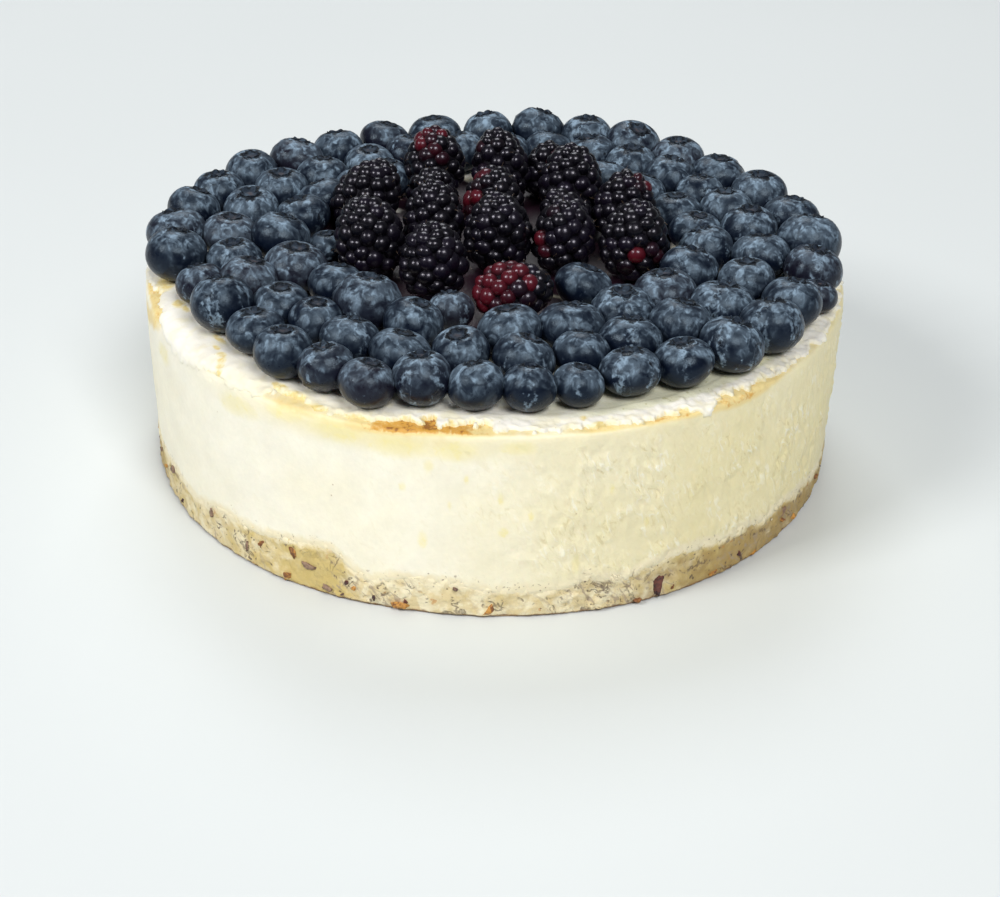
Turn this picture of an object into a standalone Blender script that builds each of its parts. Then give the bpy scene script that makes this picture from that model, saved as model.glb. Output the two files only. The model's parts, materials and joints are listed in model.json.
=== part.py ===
"""Baked cheesecake on a nut crust, topped with cream, rings of blueberries and a heap of dark berries.

The cake stands on Z = 0 about the origin, its front faces -Y, and every size is in metres.
Each layer is turned, and one shared field of small shifts then gives all of them the same uneven
edges, so that they still meet face to face.
"""
import math

import bpy
import bmesh
from mathutils import Matrix, Vector

MM = 0.001
GAP = 0.3 * MM                      # clearance between pieces that touch

CAKE_RADIUS = 114.5 * MM            # a nine inch springform tin
CAKE_HEIGHT = 65.2 * MM             # table to the flat top of the cream
TAPER = 1.3 * MM                    # how much narrower the foot is than the rim
CRUST_HEIGHT = 12.0 * MM
CREAM_THICKNESS = 3.2 * MM
CREAM_EDGE = CAKE_HEIGHT - 4.6 * MM  # usual height of the cream's lower edge on the side
SHOULDER = 7.0 * MM                 # width of the rounded shoulder at the rim
CREAM_SKIRT = 0.8 * MM              # thickness of the cream where it hangs over the side
LAYER_STEPS = 72

BLUEBERRY_RADIUS = 8.2 * MM
# Each ring is a little shallower than wide: depth is its depth as a share of its width.
OUTER_RING = {"radius": 102.5 * MM, "depth": 0.955, "shift": -2.5 * MM, "count": 35, "phase": 0.0}
MIDDLE_RING = {"radius": 86.0 * MM, "depth": 0.970, "shift": -0.5 * MM, "count": 28, "phase": 0.5}
INNER_RING = {"radius": 70.5 * MM, "depth": 0.980, "shift": 5.5 * MM, "count": 20, "phase": 0.786}
RINGS = (INNER_RING, MIDDLE_RING, OUTER_RING)
CARPET_STEPS = 140                  # a multiple of every ring's count
CARPET_VALLEY = 0.45                # height between two berries, as a share of a berry's height

# The berries that fill the clearing's edge: x, y and radius in millimetres.
LOOSE_BLUEBERRIES = (
    (28.0, -33.0, 8.8),
    (-13.4, -50.6, 6.9),
    (-56.4, -2.2, 6.3),
)

# The heap, front to back: x, y, width and length in millimetres, then the lean from upright and
# the heading of the lean in degrees, where 0 leans to the right and 90 to the back.
DARK_BERRIES = (
    (6.0, -42.5, 18.2, 25.0, 84, 8),
    (-19.5, -28.5, 21.4, 25.5, 8, 250),
    (-41.0, -12.5, 22.4, 27.0, 10, 160),
    (45.0, -11.0, 21.8, 26.5, 6, 20),
    (22.2, -8.5, 19.8, 25.5, 6, 300),
    (0.8, -7.0, 21.8, 26.5, 5, 270),
    (-20.5, 3.5, 19.6, 26.0, 5, 100),
    (43.5, 18.5, 20.4, 25.0, 10, 30),
    (-43.0, 22.0, 21.4, 27.0, 34, 25),
    (-1.0, 20.5, 19.8, 24.5, 8, 60),
    (22.6, 14.0, 17.4, 20.0, 25, 200),
    (-21.8, 31.0, 17.2, 20.0, 20, 300),
    (25.5, 34.5, 21.8, 27.5, 6, 90),
    (-22.0, 54.5, 20.8, 25.0, 6, 110),
    (0.8, 51.0, 19.6, 26.5, 12, 150),
    (17.4, 56.5, 15.2, 20.0, 20, 40),
)


def clear_scene():
    """Remove every object of the scene that is open."""
    for item in list(bpy.data.objects):
        bpy.data.objects.remove(item, do_unlink=True)


def new_collection(name):
    """Add a collection to the scene."""
    collection = bpy.data.collections.new(name)
    bpy.context.scene.collection.children.link(collection)
    return collection


def new_material(name, colour, roughness):
    """Make a plain Principled material."""
    material = bpy.data.materials.new(name)
    material.use_nodes = True
    shader = material.node_tree.nodes["Principled BSDF"]
    shader.inputs["Base Color"].default_value = (*colour, 1.0)
    shader.inputs["Roughness"].default_value = roughness
    shader.inputs["Metallic"].default_value = 0.0
    material.diffuse_color = (*colour, 1.0)
    return material


def new_object(name, mesh, material, collection):
    """Add a mesh to the scene as a named, smooth-shaded piece."""
    mesh.name = name
    mesh.materials.clear()
    mesh.materials.append(material)
    for polygon in mesh.polygons:
        polygon.use_smooth = True
    piece = bpy.data.objects.new(name, mesh)
    collection.objects.link(piece)
    return piece


def turned_mesh(profile, steps):
    """Turn a profile of (radius, height) points, listed down its outer side, about Z."""
    mesh = bpy.data.meshes.new("profile")
    points = [(radius, 0.0, height) for radius, height in profile]
    edges = [(index, index + 1) for index in range(len(points) - 1)]
    mesh.from_pydata(points, edges, [])
    helper = bpy.data.objects.new("profile", mesh)
    bpy.context.scene.collection.objects.link(helper)
    screw = helper.modifiers.new("Turn", "SCREW")
    screw.steps = steps
    screw.render_steps = steps
    screw.use_merge_vertices = True
    screw.merge_threshold = 0.00001
    evaluated = helper.evaluated_get(bpy.context.evaluated_depsgraph_get())
    turned = bpy.data.meshes.new_from_object(evaluated)
    bpy.data.objects.remove(helper, do_unlink=True)
    bpy.data.meshes.remove(mesh)
    return turned


def reshape(mesh, move):
    """Give each vertex the place that move() works out from the place it has.

    Every bent face is split along its shorter diagonal, so two layers that meet are split alike.
    """
    shell = bmesh.new()
    shell.from_mesh(mesh)
    for vertex in shell.verts:
        vertex.co = move(vertex.co.copy())
    bmesh.ops.triangulate(shell, faces=shell.faces, quad_method="SHORT_EDGE")
    shell.to_mesh(mesh)
    shell.free()


def ramp(value, low, high):
    """Smooth step from 0 at low to 1 at high."""
    share = min(max((value - low) / (high - low), 0.0), 1.0)
    return share * share * (3.0 - 2.0 * share)


def tent(value, low, peak, high):
    """Straight rise from 0 at low to 1 at peak and back to 0 at high."""
    if value <= peak:
        return max((value - low) / (peak - low), 0.0)
    return max((high - value) / (high - peak), 0.0)


def bump(angle, centre, width):
    """A smooth hill of height 1 around one heading, with angles in degrees."""
    distance = abs((math.degrees(angle) - centre + 180.0) % 360.0 - 180.0)
    return 1.0 - ramp(distance, 0.0, width)


def crust_wave(angle):
    """How far the crust's top edge stands above its usual height on the side."""
    slow = 1.5 * math.sin(2.0 * angle + 2.4) + 1.1 * math.sin(5.0 * angle + 0.7)
    quick = 0.8 * math.sin(11.0 * angle + 1.9) + 0.5 * math.sin(19.0 * angle)
    return (slow + quick) * MM


def cream_wave(angle):
    """How far the cream's lower edge stands above its usual height on the side."""
    smear = -5.5 * bump(angle, -158.0, 42.0)
    drip = -1.8 * bump(angle, -62.0, 13.0) - 1.4 * bump(angle, 65.0, 30.0)
    ragged = 0.45 * math.sin(13.0 * angle + 0.4) + 0.35 * math.sin(23.0 * angle + 1.3)
    return (smear + drip + ragged) * MM


def settle(place):
    """Shift a point of the plain turned cake to where it lies in the uneven one.

    The swell is the same at opposite headings, which keeps the cake centred on its origin.
    """
    radius = math.hypot(place.x, place.y)
    angle = math.atan2(place.y, place.x)
    share = ramp(radius, 0.7 * CAKE_RADIUS, 0.97 * CAKE_RADIUS)
    crust_share = tent(place.z, 0.0, CRUST_HEIGHT, 2.3 * CRUST_HEIGHT)
    cream_share = tent(place.z, 0.62 * CAKE_HEIGHT, CREAM_EDGE, CAKE_HEIGHT)
    lift = share * (crust_share * crust_wave(angle) + cream_share * cream_wave(angle))
    swell = 0.5 * math.sin(2.0 * angle + 0.8) + 0.3 * math.sin(6.0 * angle + 2.0)
    taper = TAPER * (place.z / CAKE_HEIGHT - 1.0)
    scale = 1.0 + (swell * MM + taper) / CAKE_RADIUS
    return Vector((place.x * scale, place.y * scale, place.z + lift))


def shoulder_profile(offset):
    """The rounded top edge of the filling from the top to the side, moved outwards by offset."""
    side = CAKE_RADIUS - CREAM_SKIRT - GAP + offset
    top = CAKE_HEIGHT - CREAM_THICKNESS - GAP + offset
    drop = CAKE_HEIGHT - CREAM_THICKNESS - CREAM_EDGE
    return [
        (side - SHOULDER, top),
        (side - 0.35 * SHOULDER, top - 0.22 * drop),
        (side - 0.6 * MM, top - 0.7 * drop),
        (side, CREAM_EDGE - 0.4 * MM + offset),
    ]


def make_crust(collection, material):
    """The pressed nut crust, with an uneven top edge on the side."""
    foot = 1.2 * MM
    profile = [
        (0.0, CRUST_HEIGHT),
        (0.75 * CAKE_RADIUS, CRUST_HEIGHT),
        (CAKE_RADIUS, CRUST_HEIGHT),
        (CAKE_RADIUS, 0.5 * CRUST_HEIGHT),
        (CAKE_RADIUS, foot),
        (CAKE_RADIUS - foot, 0.0),
        (0.0, 0.0),
    ]
    mesh = turned_mesh(profile, LAYER_STEPS)
    reshape(mesh, settle)
    return new_object("crust", mesh, material, collection)


def make_filling(collection, material):
    """The baked filling, from the crust up to the cream."""
    floor = CRUST_HEIGHT + GAP
    shoulder = shoulder_profile(0.0)
    profile = [
        (0.0, shoulder[0][1]),
        *shoulder,
        (CAKE_RADIUS, CREAM_EDGE - GAP - 0.8 * MM),
        (CAKE_RADIUS, 0.62 * CAKE_HEIGHT),
        (CAKE_RADIUS, 2.3 * CRUST_HEIGHT),
        (CAKE_RADIUS, floor),
        (0.75 * CAKE_RADIUS, floor),
        (0.0, floor),
    ]
    mesh = turned_mesh(profile, LAYER_STEPS)
    reshape(mesh, settle)
    return new_object("filling", mesh, material, collection)


def make_cream(collection, material):
    """The thin layer of cream, which hangs over the rim with a ragged edge."""
    inside = shoulder_profile(GAP)
    profile = [
        (0.0, CAKE_HEIGHT),
        (CAKE_RADIUS - SHOULDER, CAKE_HEIGHT - 0.2 * MM),
        (CAKE_RADIUS - 0.3 * SHOULDER, CAKE_HEIGHT - 1.0 * MM),
        (CAKE_RADIUS - 0.3 * MM, CAKE_HEIGHT - 2.4 * MM),
        (CAKE_RADIUS, CREAM_EDGE),
        *reversed(inside),
        (0.0, inside[0][1]),
    ]
    mesh = turned_mesh(profile, LAYER_STEPS)
    reshape(mesh, settle)
    return new_object("cream_topping", mesh, material, collection)


def ring_berries(ring):
    """The centre of each blueberry of one ring, as seen from above."""
    centres = []
    for index in range(ring["count"]):
        angle = 2.0 * math.pi * (index + ring["phase"]) / ring["count"]
        radius = ring["radius"]
        back = radius * ring["depth"] * math.sin(angle) + ring["shift"]
        centres.append(Vector((radius * math.cos(angle), back)))
    return centres


def carpet_height(spot, centres):
    """Height of the carpet's top above the cream: a berry's dome, or the valley between berries."""
    nearest = min((spot - centre).length for centre in centres)
    dome = BLUEBERRY_RADIUS
    if nearest < BLUEBERRY_RADIUS:
        dome += math.sqrt(BLUEBERRY_RADIUS ** 2 - nearest ** 2)
    return max(dome, 2.0 * CARPET_VALLEY * BLUEBERRY_RADIUS)


def scallop(angle, ring):
    """How far the berries of one ring stand out from the middle of the ring at a heading."""
    pitch = 2.0 * math.pi / ring["count"]
    offset = (angle - ring["phase"] * pitch + 0.5 * pitch) % pitch - 0.5 * pitch
    sideways = ring["radius"] * offset
    return math.sqrt(max(BLUEBERRY_RADIUS ** 2 - sideways ** 2, 0.0))


def make_carpet(collection, material):
    """The rings of blueberries as one solid, with a dome for each berry and scalloped edges."""
    base = CAKE_HEIGHT + GAP
    crown = base + 2.0 * BLUEBERRY_RADIUS
    inside = INNER_RING["radius"] - BLUEBERRY_RADIUS
    outside = OUTER_RING["radius"] + BLUEBERRY_RADIUS
    profile = [(inside, base), (inside, crown)]
    for ring in RINGS:
        profile += [(ring["radius"] + step * BLUEBERRY_RADIUS, crown) for step in (-0.6, 0.0, 0.6)]
    profile += [(outside, crown), (outside, base), (inside, base)]
    centres = [centre for ring in RINGS for centre in ring_berries(ring)]
    mesh = turned_mesh(profile, CARPET_STEPS)

    def settle_carpet(place):
        angle = math.atan2(place.y, place.x)
        share = (math.hypot(place.x, place.y) - inside) / (outside - inside)
        shift = INNER_RING["shift"] * (1.0 - share) + OUTER_RING["shift"] * share
        depth = INNER_RING["depth"] * (1.0 - share) + OUTER_RING["depth"] * share
        near = INNER_RING["radius"] - scallop(angle, INNER_RING)
        far = OUTER_RING["radius"] + scallop(angle, OUTER_RING)
        height = place.z - base
        if height < 0.1 * BLUEBERRY_RADIUS:
            far -= 0.5 * BLUEBERRY_RADIUS
        reach = near * (1.0 - share) + far * share
        spot = Vector((reach * math.cos(angle), reach * depth * math.sin(angle) + shift))
        if place.z > crown - GAP:
            height = carpet_height(spot, centres)
        return Vector((spot.x, spot.y, base + height))

    reshape(mesh, settle_carpet)
    return new_object("blueberry_carpet", mesh, material, collection)


def make_loose_blueberries(collection, material):
    """The single blueberries around the heap, each with the dimple of its crown on top."""
    pieces = []
    for number, (x, y, radius) in enumerate(LOOSE_BLUEBERRIES, start=1):
        shell = bmesh.new()
        bmesh.ops.create_uvsphere(shell, u_segments=14, v_segments=8, radius=radius * MM)
        bmesh.ops.scale(shell, vec=(1.0, 1.0, 0.92), verts=shell.verts)
        top = max(shell.verts, key=lambda vertex: vertex.co.z)
        top.co.z -= 0.12 * radius * MM
        mesh = bpy.data.meshes.new("blueberry")
        shell.to_mesh(mesh)
        shell.free()
        piece = new_object(f"blueberry_{number}", mesh, material, collection)
        piece.location = (x * MM, y * MM, CAKE_HEIGHT + GAP + 0.92 * radius * MM)
        pieces.append(piece)
    return pieces


def dark_berry_mesh(width, length):
    """A berry of many drupelets: an egg with staggered rows of bumps, standing along Z."""
    segments = 10
    rows = 8
    shell = bmesh.new()
    bmesh.ops.create_uvsphere(shell, u_segments=segments, v_segments=rows, radius=1.0)
    for vertex in shell.verts:
        latitude = math.asin(min(max(vertex.co.z, -1.0), 1.0))
        longitude = math.atan2(vertex.co.y, vertex.co.x)
        row = round((latitude / math.pi + 0.5) * rows)
        column = round(longitude / (2.0 * math.pi) * segments)
        raised = 1.0 if (row + column) % 2 == 0 else 0.91
        narrowing = 1.0 - 0.14 * vertex.co.z
        vertex.co.x *= 0.5 * width * narrowing * raised
        vertex.co.y *= 0.5 * width * narrowing * raised
        vertex.co.z *= 0.5 * length
    mesh = bpy.data.meshes.new("dark_berry")
    shell.to_mesh(mesh)
    shell.free()
    return mesh


def make_dark_berries(collection, material):
    """The heap of dark berries, each resting on the cream at its own lean."""
    pieces = []
    for number, (x, y, width, length, lean, heading) in enumerate(DARK_BERRIES, start=1):
        mesh = dark_berry_mesh(width * MM, length * MM)
        heading_turn = Matrix.Rotation(math.radians(heading), 4, "Z")
        lean_turn = Matrix.Rotation(math.radians(lean), 4, "Y")
        turn = heading_turn @ lean_turn @ heading_turn.inverted()
        lowest = min((turn @ vertex.co).z for vertex in mesh.vertices)
        piece = new_object(f"dark_berry_{number:02d}", mesh, material, collection)
        piece.location = (x * MM, y * MM, CAKE_HEIGHT + GAP - lowest)
        piece.rotation_euler = turn.to_euler()
        pieces.append(piece)
    return pieces


def main():
    """Build the whole cake."""
    clear_scene()
    collection = new_collection("baked_cheesecake")
    nut_crust = new_material("nut_crust", (0.50, 0.39, 0.20), 0.85)
    baked_filling = new_material("baked_filling", (0.90, 0.82, 0.58), 0.60)
    white_cream = new_material("white_cream", (0.93, 0.92, 0.87), 0.55)
    blueberry_skin = new_material("blueberry_skin", (0.035, 0.055, 0.11), 0.50)
    dark_berry_skin = new_material("dark_berry_skin", (0.018, 0.006, 0.014), 0.25)
    make_crust(collection, nut_crust)
    make_filling(collection, baked_filling)
    make_cream(collection, white_cream)
    make_carpet(collection, blueberry_skin)
    make_loose_blueberries(collection, blueberry_skin)
    make_dark_berries(collection, dark_berry_skin)


main()
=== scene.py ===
"""Baked cheesecake: the looks that go round its packed layers, its blueberries and its dark berries.

The cake stands on Z = 0 about the origin and its front faces -Y. Sizes are worked out in millimetres
and become metres when a mesh is written. Headings are degrees, where 0 is right and -90 is the front.
A reach is a distance along the cake's skin from the rim: below zero towards the middle of the top,
above zero down the side.
"""

import json
import logging
import math
from dataclasses import dataclass, field
from enum import Enum

import bpy
import numpy as np
from mathutils import Matrix, Vector

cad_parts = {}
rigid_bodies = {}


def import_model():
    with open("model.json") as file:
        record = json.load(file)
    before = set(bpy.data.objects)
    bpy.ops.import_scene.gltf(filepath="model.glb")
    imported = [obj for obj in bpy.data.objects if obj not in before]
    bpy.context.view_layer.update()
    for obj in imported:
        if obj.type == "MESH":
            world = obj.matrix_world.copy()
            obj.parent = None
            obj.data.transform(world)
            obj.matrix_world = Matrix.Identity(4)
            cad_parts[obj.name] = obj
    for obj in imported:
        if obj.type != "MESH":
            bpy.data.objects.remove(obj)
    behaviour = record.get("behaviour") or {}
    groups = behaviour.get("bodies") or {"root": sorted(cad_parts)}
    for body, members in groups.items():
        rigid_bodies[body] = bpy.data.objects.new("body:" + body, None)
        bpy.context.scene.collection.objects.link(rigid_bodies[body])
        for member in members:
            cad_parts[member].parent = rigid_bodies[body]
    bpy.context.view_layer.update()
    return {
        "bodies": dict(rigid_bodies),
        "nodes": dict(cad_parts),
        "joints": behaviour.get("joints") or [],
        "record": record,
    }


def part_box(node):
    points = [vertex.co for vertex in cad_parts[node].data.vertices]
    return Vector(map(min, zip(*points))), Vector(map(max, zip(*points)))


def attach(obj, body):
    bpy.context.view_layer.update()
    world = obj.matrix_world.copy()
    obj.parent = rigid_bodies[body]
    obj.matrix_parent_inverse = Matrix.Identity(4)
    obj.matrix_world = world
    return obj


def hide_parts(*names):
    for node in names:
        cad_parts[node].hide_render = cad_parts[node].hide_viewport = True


MM = 0.001
Array = np.ndarray
Colour = tuple[float, float, float]
Stations = tuple[tuple[float, float], ...]

logging.basicConfig(level=logging.INFO, format="%(message)s")
log = logging.getLogger("cheesecake")


# ---------------------------------------------------------------------------------------------
# Numbers that vary over the cake
# ---------------------------------------------------------------------------------------------


def smooth(value: Array | float, low: float, high: float) -> Array:
    """Rise smoothly from 0 at low to 1 at high.

    Args:
        value: Where on the ramp each point is.
        low: The value that gives 0. It may be the larger of the two, for a ramp that falls.
        high: The value that gives 1.

    Returns:
        A share from 0 to 1 for each value.
    """
    share = np.clip((np.asarray(value, float) - low) / (high - low), 0.0, 1.0)
    return share * share * (3.0 - 2.0 * share)


def around(stations: Stations, heading: Array) -> Array:
    """Read a size that changes round the cake.

    Args:
        stations: Pairs of a heading in degrees and the size there.
        heading: Headings in degrees.

    Returns:
        The size at each heading.
    """
    angles, sizes = zip(*stations)
    return np.interp(heading, angles, sizes, period=360.0)


def hill(heading: Array, centre: float, width: float) -> Array:
    """Give a smooth hill of height 1 round one heading.

    Args:
        heading: Headings in degrees.
        centre: The heading of the top of the hill.
        width: Degrees from the top to the foot.

    Returns:
        The hill's height at each heading.
    """
    distance = np.abs((heading - centre + 180.0) % 360.0 - 180.0)
    return smooth(distance, width, 0.0)


class Noise:
    """Smooth noise in space that comes out the same on every run."""

    def __init__(self, seed: int) -> None:
        """Draw the tables of the noise.

        Args:
            seed: Any whole number; each gives other noise.
        """
        draw = np.random.default_rng(seed)
        self.order = draw.permutation(256)
        slopes = draw.normal(size=(256, 3))
        self.slopes = slopes / np.linalg.norm(slopes, axis=1, keepdims=True)
        self.spots = draw.random((256, 3))
        self.chances = draw.random(256)

    def pick(self, cell: Array) -> Array:
        """Choose the table entry of each cell of the lattice.

        Args:
            cell: Whole-number cells, one row of three each.

        Returns:
            Entry numbers from 0 to 255.
        """
        x, y, z = (cell & 255).T
        return self.order[(self.order[(self.order[x] + y) & 255] + z) & 255]

    def at(self, places: Array, size: float) -> Array:
        """Give noise of one size.

        Args:
            places: Points in space.
            size: Width of a typical bump, in the unit of the points.

        Returns:
            A value from about -1 to 1 for each point.
        """
        scaled = places / size
        base = np.floor(scaled).astype(int)
        within = scaled - base
        fade = within**3 * (within * (within * 6.0 - 15.0) + 10.0)
        total = np.zeros(len(places))
        for corner in np.ndindex(2, 2, 2):
            step = np.array(corner)
            slope = self.slopes[self.pick(base + step)]
            weight = np.prod(np.where(step == 1, fade, 1.0 - fade), axis=1)
            total += weight * np.einsum("ij,ij->i", slope, within - step)
        return 1.6 * total

    def layers(self, places: Array, size: float, depth: int = 3) -> Array:
        """Add up noise of halving sizes.

        Args:
            places: Points in space.
            size: Width of the largest bumps.
            depth: How many sizes are added.

        Returns:
            A value from about -1.5 to 1.5 for each point.
        """
        total = np.zeros(len(places))
        for level in range(depth):
            share = 0.5**level
            total += share * self.at(places + 17.3 * level, size * share)
        return total

    def cells(self, places: Array, size: float) -> tuple[Array, Array, Array]:
        """Find the nearest of many scattered spots, for pits and crumbs.

        Args:
            places: Points in space.
            size: Usual distance between two spots.

        Returns:
            The distances to the nearest and the second-nearest spot, as shares of the size, and
            a chance from 0 to 1 that belongs to the nearest spot.
        """
        scaled = places / size
        base = np.floor(scaled).astype(int)
        nearest = np.full(len(places), 9.0)
        second = np.full(len(places), 9.0)
        chance = np.zeros(len(places))
        for corner in np.ndindex(3, 3, 3):
            cell = base + np.array(corner) - 1
            entry = self.pick(cell)
            distance = np.linalg.norm(cell + self.spots[entry] - scaled, axis=1)
            closer = distance < nearest
            second = np.where(closer, nearest, np.minimum(second, distance))
            chance = np.where(closer, self.chances[entry], chance)
            nearest = np.where(closer, distance, nearest)
        return nearest, second, chance


# ---------------------------------------------------------------------------------------------
# Shader maths
# ---------------------------------------------------------------------------------------------


class Amount:
    """A number that varies over a surface; its operators add Math nodes."""

    def __init__(self, recipe: "Recipe", socket: bpy.types.NodeSocket) -> None:
        """Wrap one output socket of a recipe's nodes."""
        self.recipe = recipe
        self.socket = socket

    def math(self, operation: str, *values: "Amount | float") -> "Amount":
        """Add a Math node.

        Args:
            operation: The node's operation, such as ADD.
            values: Its inputs in order.

        Returns:
            The node's result.
        """
        inputs = dict(enumerate(values))
        return self.recipe.amount("ShaderNodeMath", {"operation": operation}, inputs)

    def __add__(self, other: "Amount | float") -> "Amount":
        """Add."""
        return self.math("ADD", self, other)

    def __radd__(self, other: float) -> "Amount":
        """Add, with the number first."""
        return self.math("ADD", other, self)

    def __sub__(self, other: "Amount | float") -> "Amount":
        """Take away."""
        return self.math("SUBTRACT", self, other)

    def __rsub__(self, other: float) -> "Amount":
        """Take away from a number."""
        return self.math("SUBTRACT", other, self)

    def __mul__(self, other: "Amount | float") -> "Amount":
        """Multiply."""
        return self.math("MULTIPLY", self, other)

    def __rmul__(self, other: float) -> "Amount":
        """Multiply, with the number first."""
        return self.math("MULTIPLY", other, self)

    def __truediv__(self, other: "Amount | float") -> "Amount":
        """Divide."""
        return self.math("DIVIDE", self, other)

    def __rtruediv__(self, other: float) -> "Amount":
        """Divide a number by this."""
        return self.math("DIVIDE", other, self)

    def __pow__(self, other: float) -> "Amount":
        """Raise to a power."""
        return self.math("POWER", self, other)

    def clamped(self) -> "Amount":
        """Keep within 0 and 1."""
        return self.ramp(0.0, 1.0, "LINEAR")

    def ramp(self, low: float, high: float, kind: str = "SMOOTHSTEP") -> "Amount":
        """Rise from 0 at low to 1 at high.

        Args:
            low: The value that gives 0.
            high: The value that gives 1.
            kind: SMOOTHSTEP or LINEAR.

        Returns:
            A share from 0 to 1.
        """
        settings = {"interpolation_type": kind, "clamp": True}
        values = {"Value": self, "From Min": low, "From Max": high}
        return self.recipe.amount("ShaderNodeMapRange", settings, values, "Result")


class Recipe:
    """The nodes of one material."""

    def __init__(self, name: str) -> None:
        """Start a material with a Principled shader.

        Args:
            name: The material's name.
        """
        self.material = bpy.data.materials.new(name)
        self.material.use_nodes = True
        self.nodes = self.material.node_tree.nodes
        self.links = self.material.node_tree.links
        self.shader = self.nodes["Principled BSDF"]
        self.spot = self.node("ShaderNodeTexCoord").outputs["Object"]

    def node(self, kind: str, settings: dict | None = None, values: dict | None = None) -> bpy.types.Node:
        """Add a node.

        Args:
            kind: The node's type.
            settings: Its own properties, such as a Math node's operation, which are set first.
            values: Numbers, colours, sockets or amounts for its input sockets.

        Returns:
            The new node.
        """
        node = self.nodes.new(kind)
        for name, value in (settings or {}).items():
            setattr(node, name, value)
        for name, value in (values or {}).items():
            self.feed(node.inputs[name], value)
        return node

    def feed(self, socket: bpy.types.NodeSocket, value: object) -> None:
        """Give a socket a value or a link.

        Args:
            socket: The input socket.
            value: An amount, another node's output, a colour or a number.
        """
        if isinstance(value, Amount):
            self.links.new(value.socket, socket)
        elif isinstance(value, bpy.types.NodeSocket):
            self.links.new(value, socket)
        elif isinstance(value, tuple) and socket.type == "RGBA":
            socket.default_value = (*value, 1.0)
        else:
            socket.default_value = value

    def amount(self, kind: str, settings: dict, values: dict, output: str | int = 0) -> Amount:
        """Add a node and wrap one of its outputs.

        Args:
            kind: The node's type.
            settings: Its own properties.
            values: Its inputs.
            output: Which output is wrapped.

        Returns:
            The output as an amount.
        """
        return Amount(self, self.node(kind, settings, values).outputs[output])

    def mark(self, name: str) -> Amount:
        """Read a share that the mesh carries at its corners."""
        return self.amount("ShaderNodeAttribute", {"attribute_name": name}, {}, "Fac")

    def noise(self, size: float, depth: float = 2.0, spot: bpy.types.NodeSocket | None = None,
              twist: float = 0.0) -> Amount:
        """Add smooth noise.

        Args:
            size: Width of a typical bump in millimetres.
            depth: How many finer sizes are added.
            spot: The place that is read, if it isn't the plain one.
            twist: Distortion of the pattern.

        Returns:
            A value from 0 to 1, mostly near 0.5.
        """
        values = {"Vector": spot or self.spot, "Scale": 1.0 / (size * MM), "Detail": depth,
                  "Distortion": twist}
        return self.amount("ShaderNodeTexNoise", {}, values, "Fac")

    def cells(self, size: float, feature: str = "F1", spot: bpy.types.NodeSocket | None = None,
              output: str = "Distance") -> Amount:
        """Add a pattern of scattered spots.

        Args:
            size: Usual distance between two spots in millimetres.
            feature: The Voronoi feature, such as F1.
            spot: The place that is read, if it isn't the plain one.
            output: Distance, or Color for one random value to each spot.

        Returns:
            The distance as a share of the size, or the random value.
        """
        values = {"Vector": spot or self.spot, "Scale": 1.0 / (size * MM)}
        return self.amount("ShaderNodeTexVoronoi", {"feature": feature}, values, output)

    def stretched(self, scale: tuple[float, float, float], turn: float = 0.0) -> bpy.types.NodeSocket:
        """Stretch and wind the plain place, for patterns that run one way.

        Args:
            scale: The factor on each axis: below 1 draws the pattern out.
            turn: Radians of turn about Z for each metre of height.

        Returns:
            The new place.
        """
        spot = self.spot
        if turn:
            parts = self.node("ShaderNodeSeparateXYZ", {}, {"Vector": spot})
            angle = Amount(self, parts.outputs["Z"]) * turn
            values = {"Vector": spot, "Angle": angle}
            wound = self.node("ShaderNodeVectorRotate", {"rotation_type": "Z_AXIS"}, values)
            spot = wound.outputs["Vector"]
        values = {0: spot, 1: scale}
        return self.node("ShaderNodeVectorMath", {"operation": "MULTIPLY"}, values).outputs[0]

    def mix(self, share: Amount | float, first: object, second: object) -> bpy.types.NodeSocket:
        """Mix two colours.

        Args:
            share: 0 for the first and 1 for the second.
            first: A colour or a socket.
            second: A colour or a socket.

        Returns:
            The mixed colour.
        """
        node = self.node("ShaderNodeMix", {"data_type": "RGBA"}, {0: share})
        self.feed(node.inputs[6], first)
        self.feed(node.inputs[7], second)
        return node.outputs[2]

    def scale(self, colour: object, factor: Amount) -> bpy.types.NodeSocket:
        """Multiply a colour by an amount.

        Args:
            colour: A colour or a socket.
            factor: What each channel is multiplied by.

        Returns:
            The new colour.
        """
        node = self.node("ShaderNodeVectorMath", {"operation": "SCALE"}, {"Scale": factor})
        self.feed(node.inputs[0], colour)
        return node.outputs[0]

    def finish(self, colour: object, roughness: Amount | float, bumps: tuple[tuple[Amount, float], ...],
               **constants: object) -> bpy.types.Material:
        """Join the colour, the roughness and the bumps to the shader.

        Args:
            colour: The base colour.
            roughness: How rough the surface is.
            bumps: Pairs of a height pattern and the millimetres that 1 of it stands up.
            constants: Values of other shader sockets, with _ for a space in their names.

        Returns:
            The finished material.
        """
        self.feed(self.shader.inputs["Base Color"], colour)
        self.feed(self.shader.inputs["Roughness"], roughness)
        normal = None
        for height, depth in bumps:
            values = {"Height": height, "Distance": depth * MM, "Strength": 1.0}
            if normal is not None:
                values["Normal"] = normal
            normal = self.node("ShaderNodeBump", {}, values).outputs["Normal"]
        if normal is not None:
            self.feed(self.shader.inputs["Normal"], normal)
        for name, value in constants.items():
            self.shader.inputs[name.replace("_", " ")].default_value = value
        return self.material


# ---------------------------------------------------------------------------------------------
# Finishes
# ---------------------------------------------------------------------------------------------


PALE_CUSTARD: Colour = (0.905, 0.868, 0.735)
YELLOW_CUSTARD: Colour = (0.83, 0.74, 0.43)
PALE_DOUGH: Colour = (0.85, 0.76, 0.53)


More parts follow.
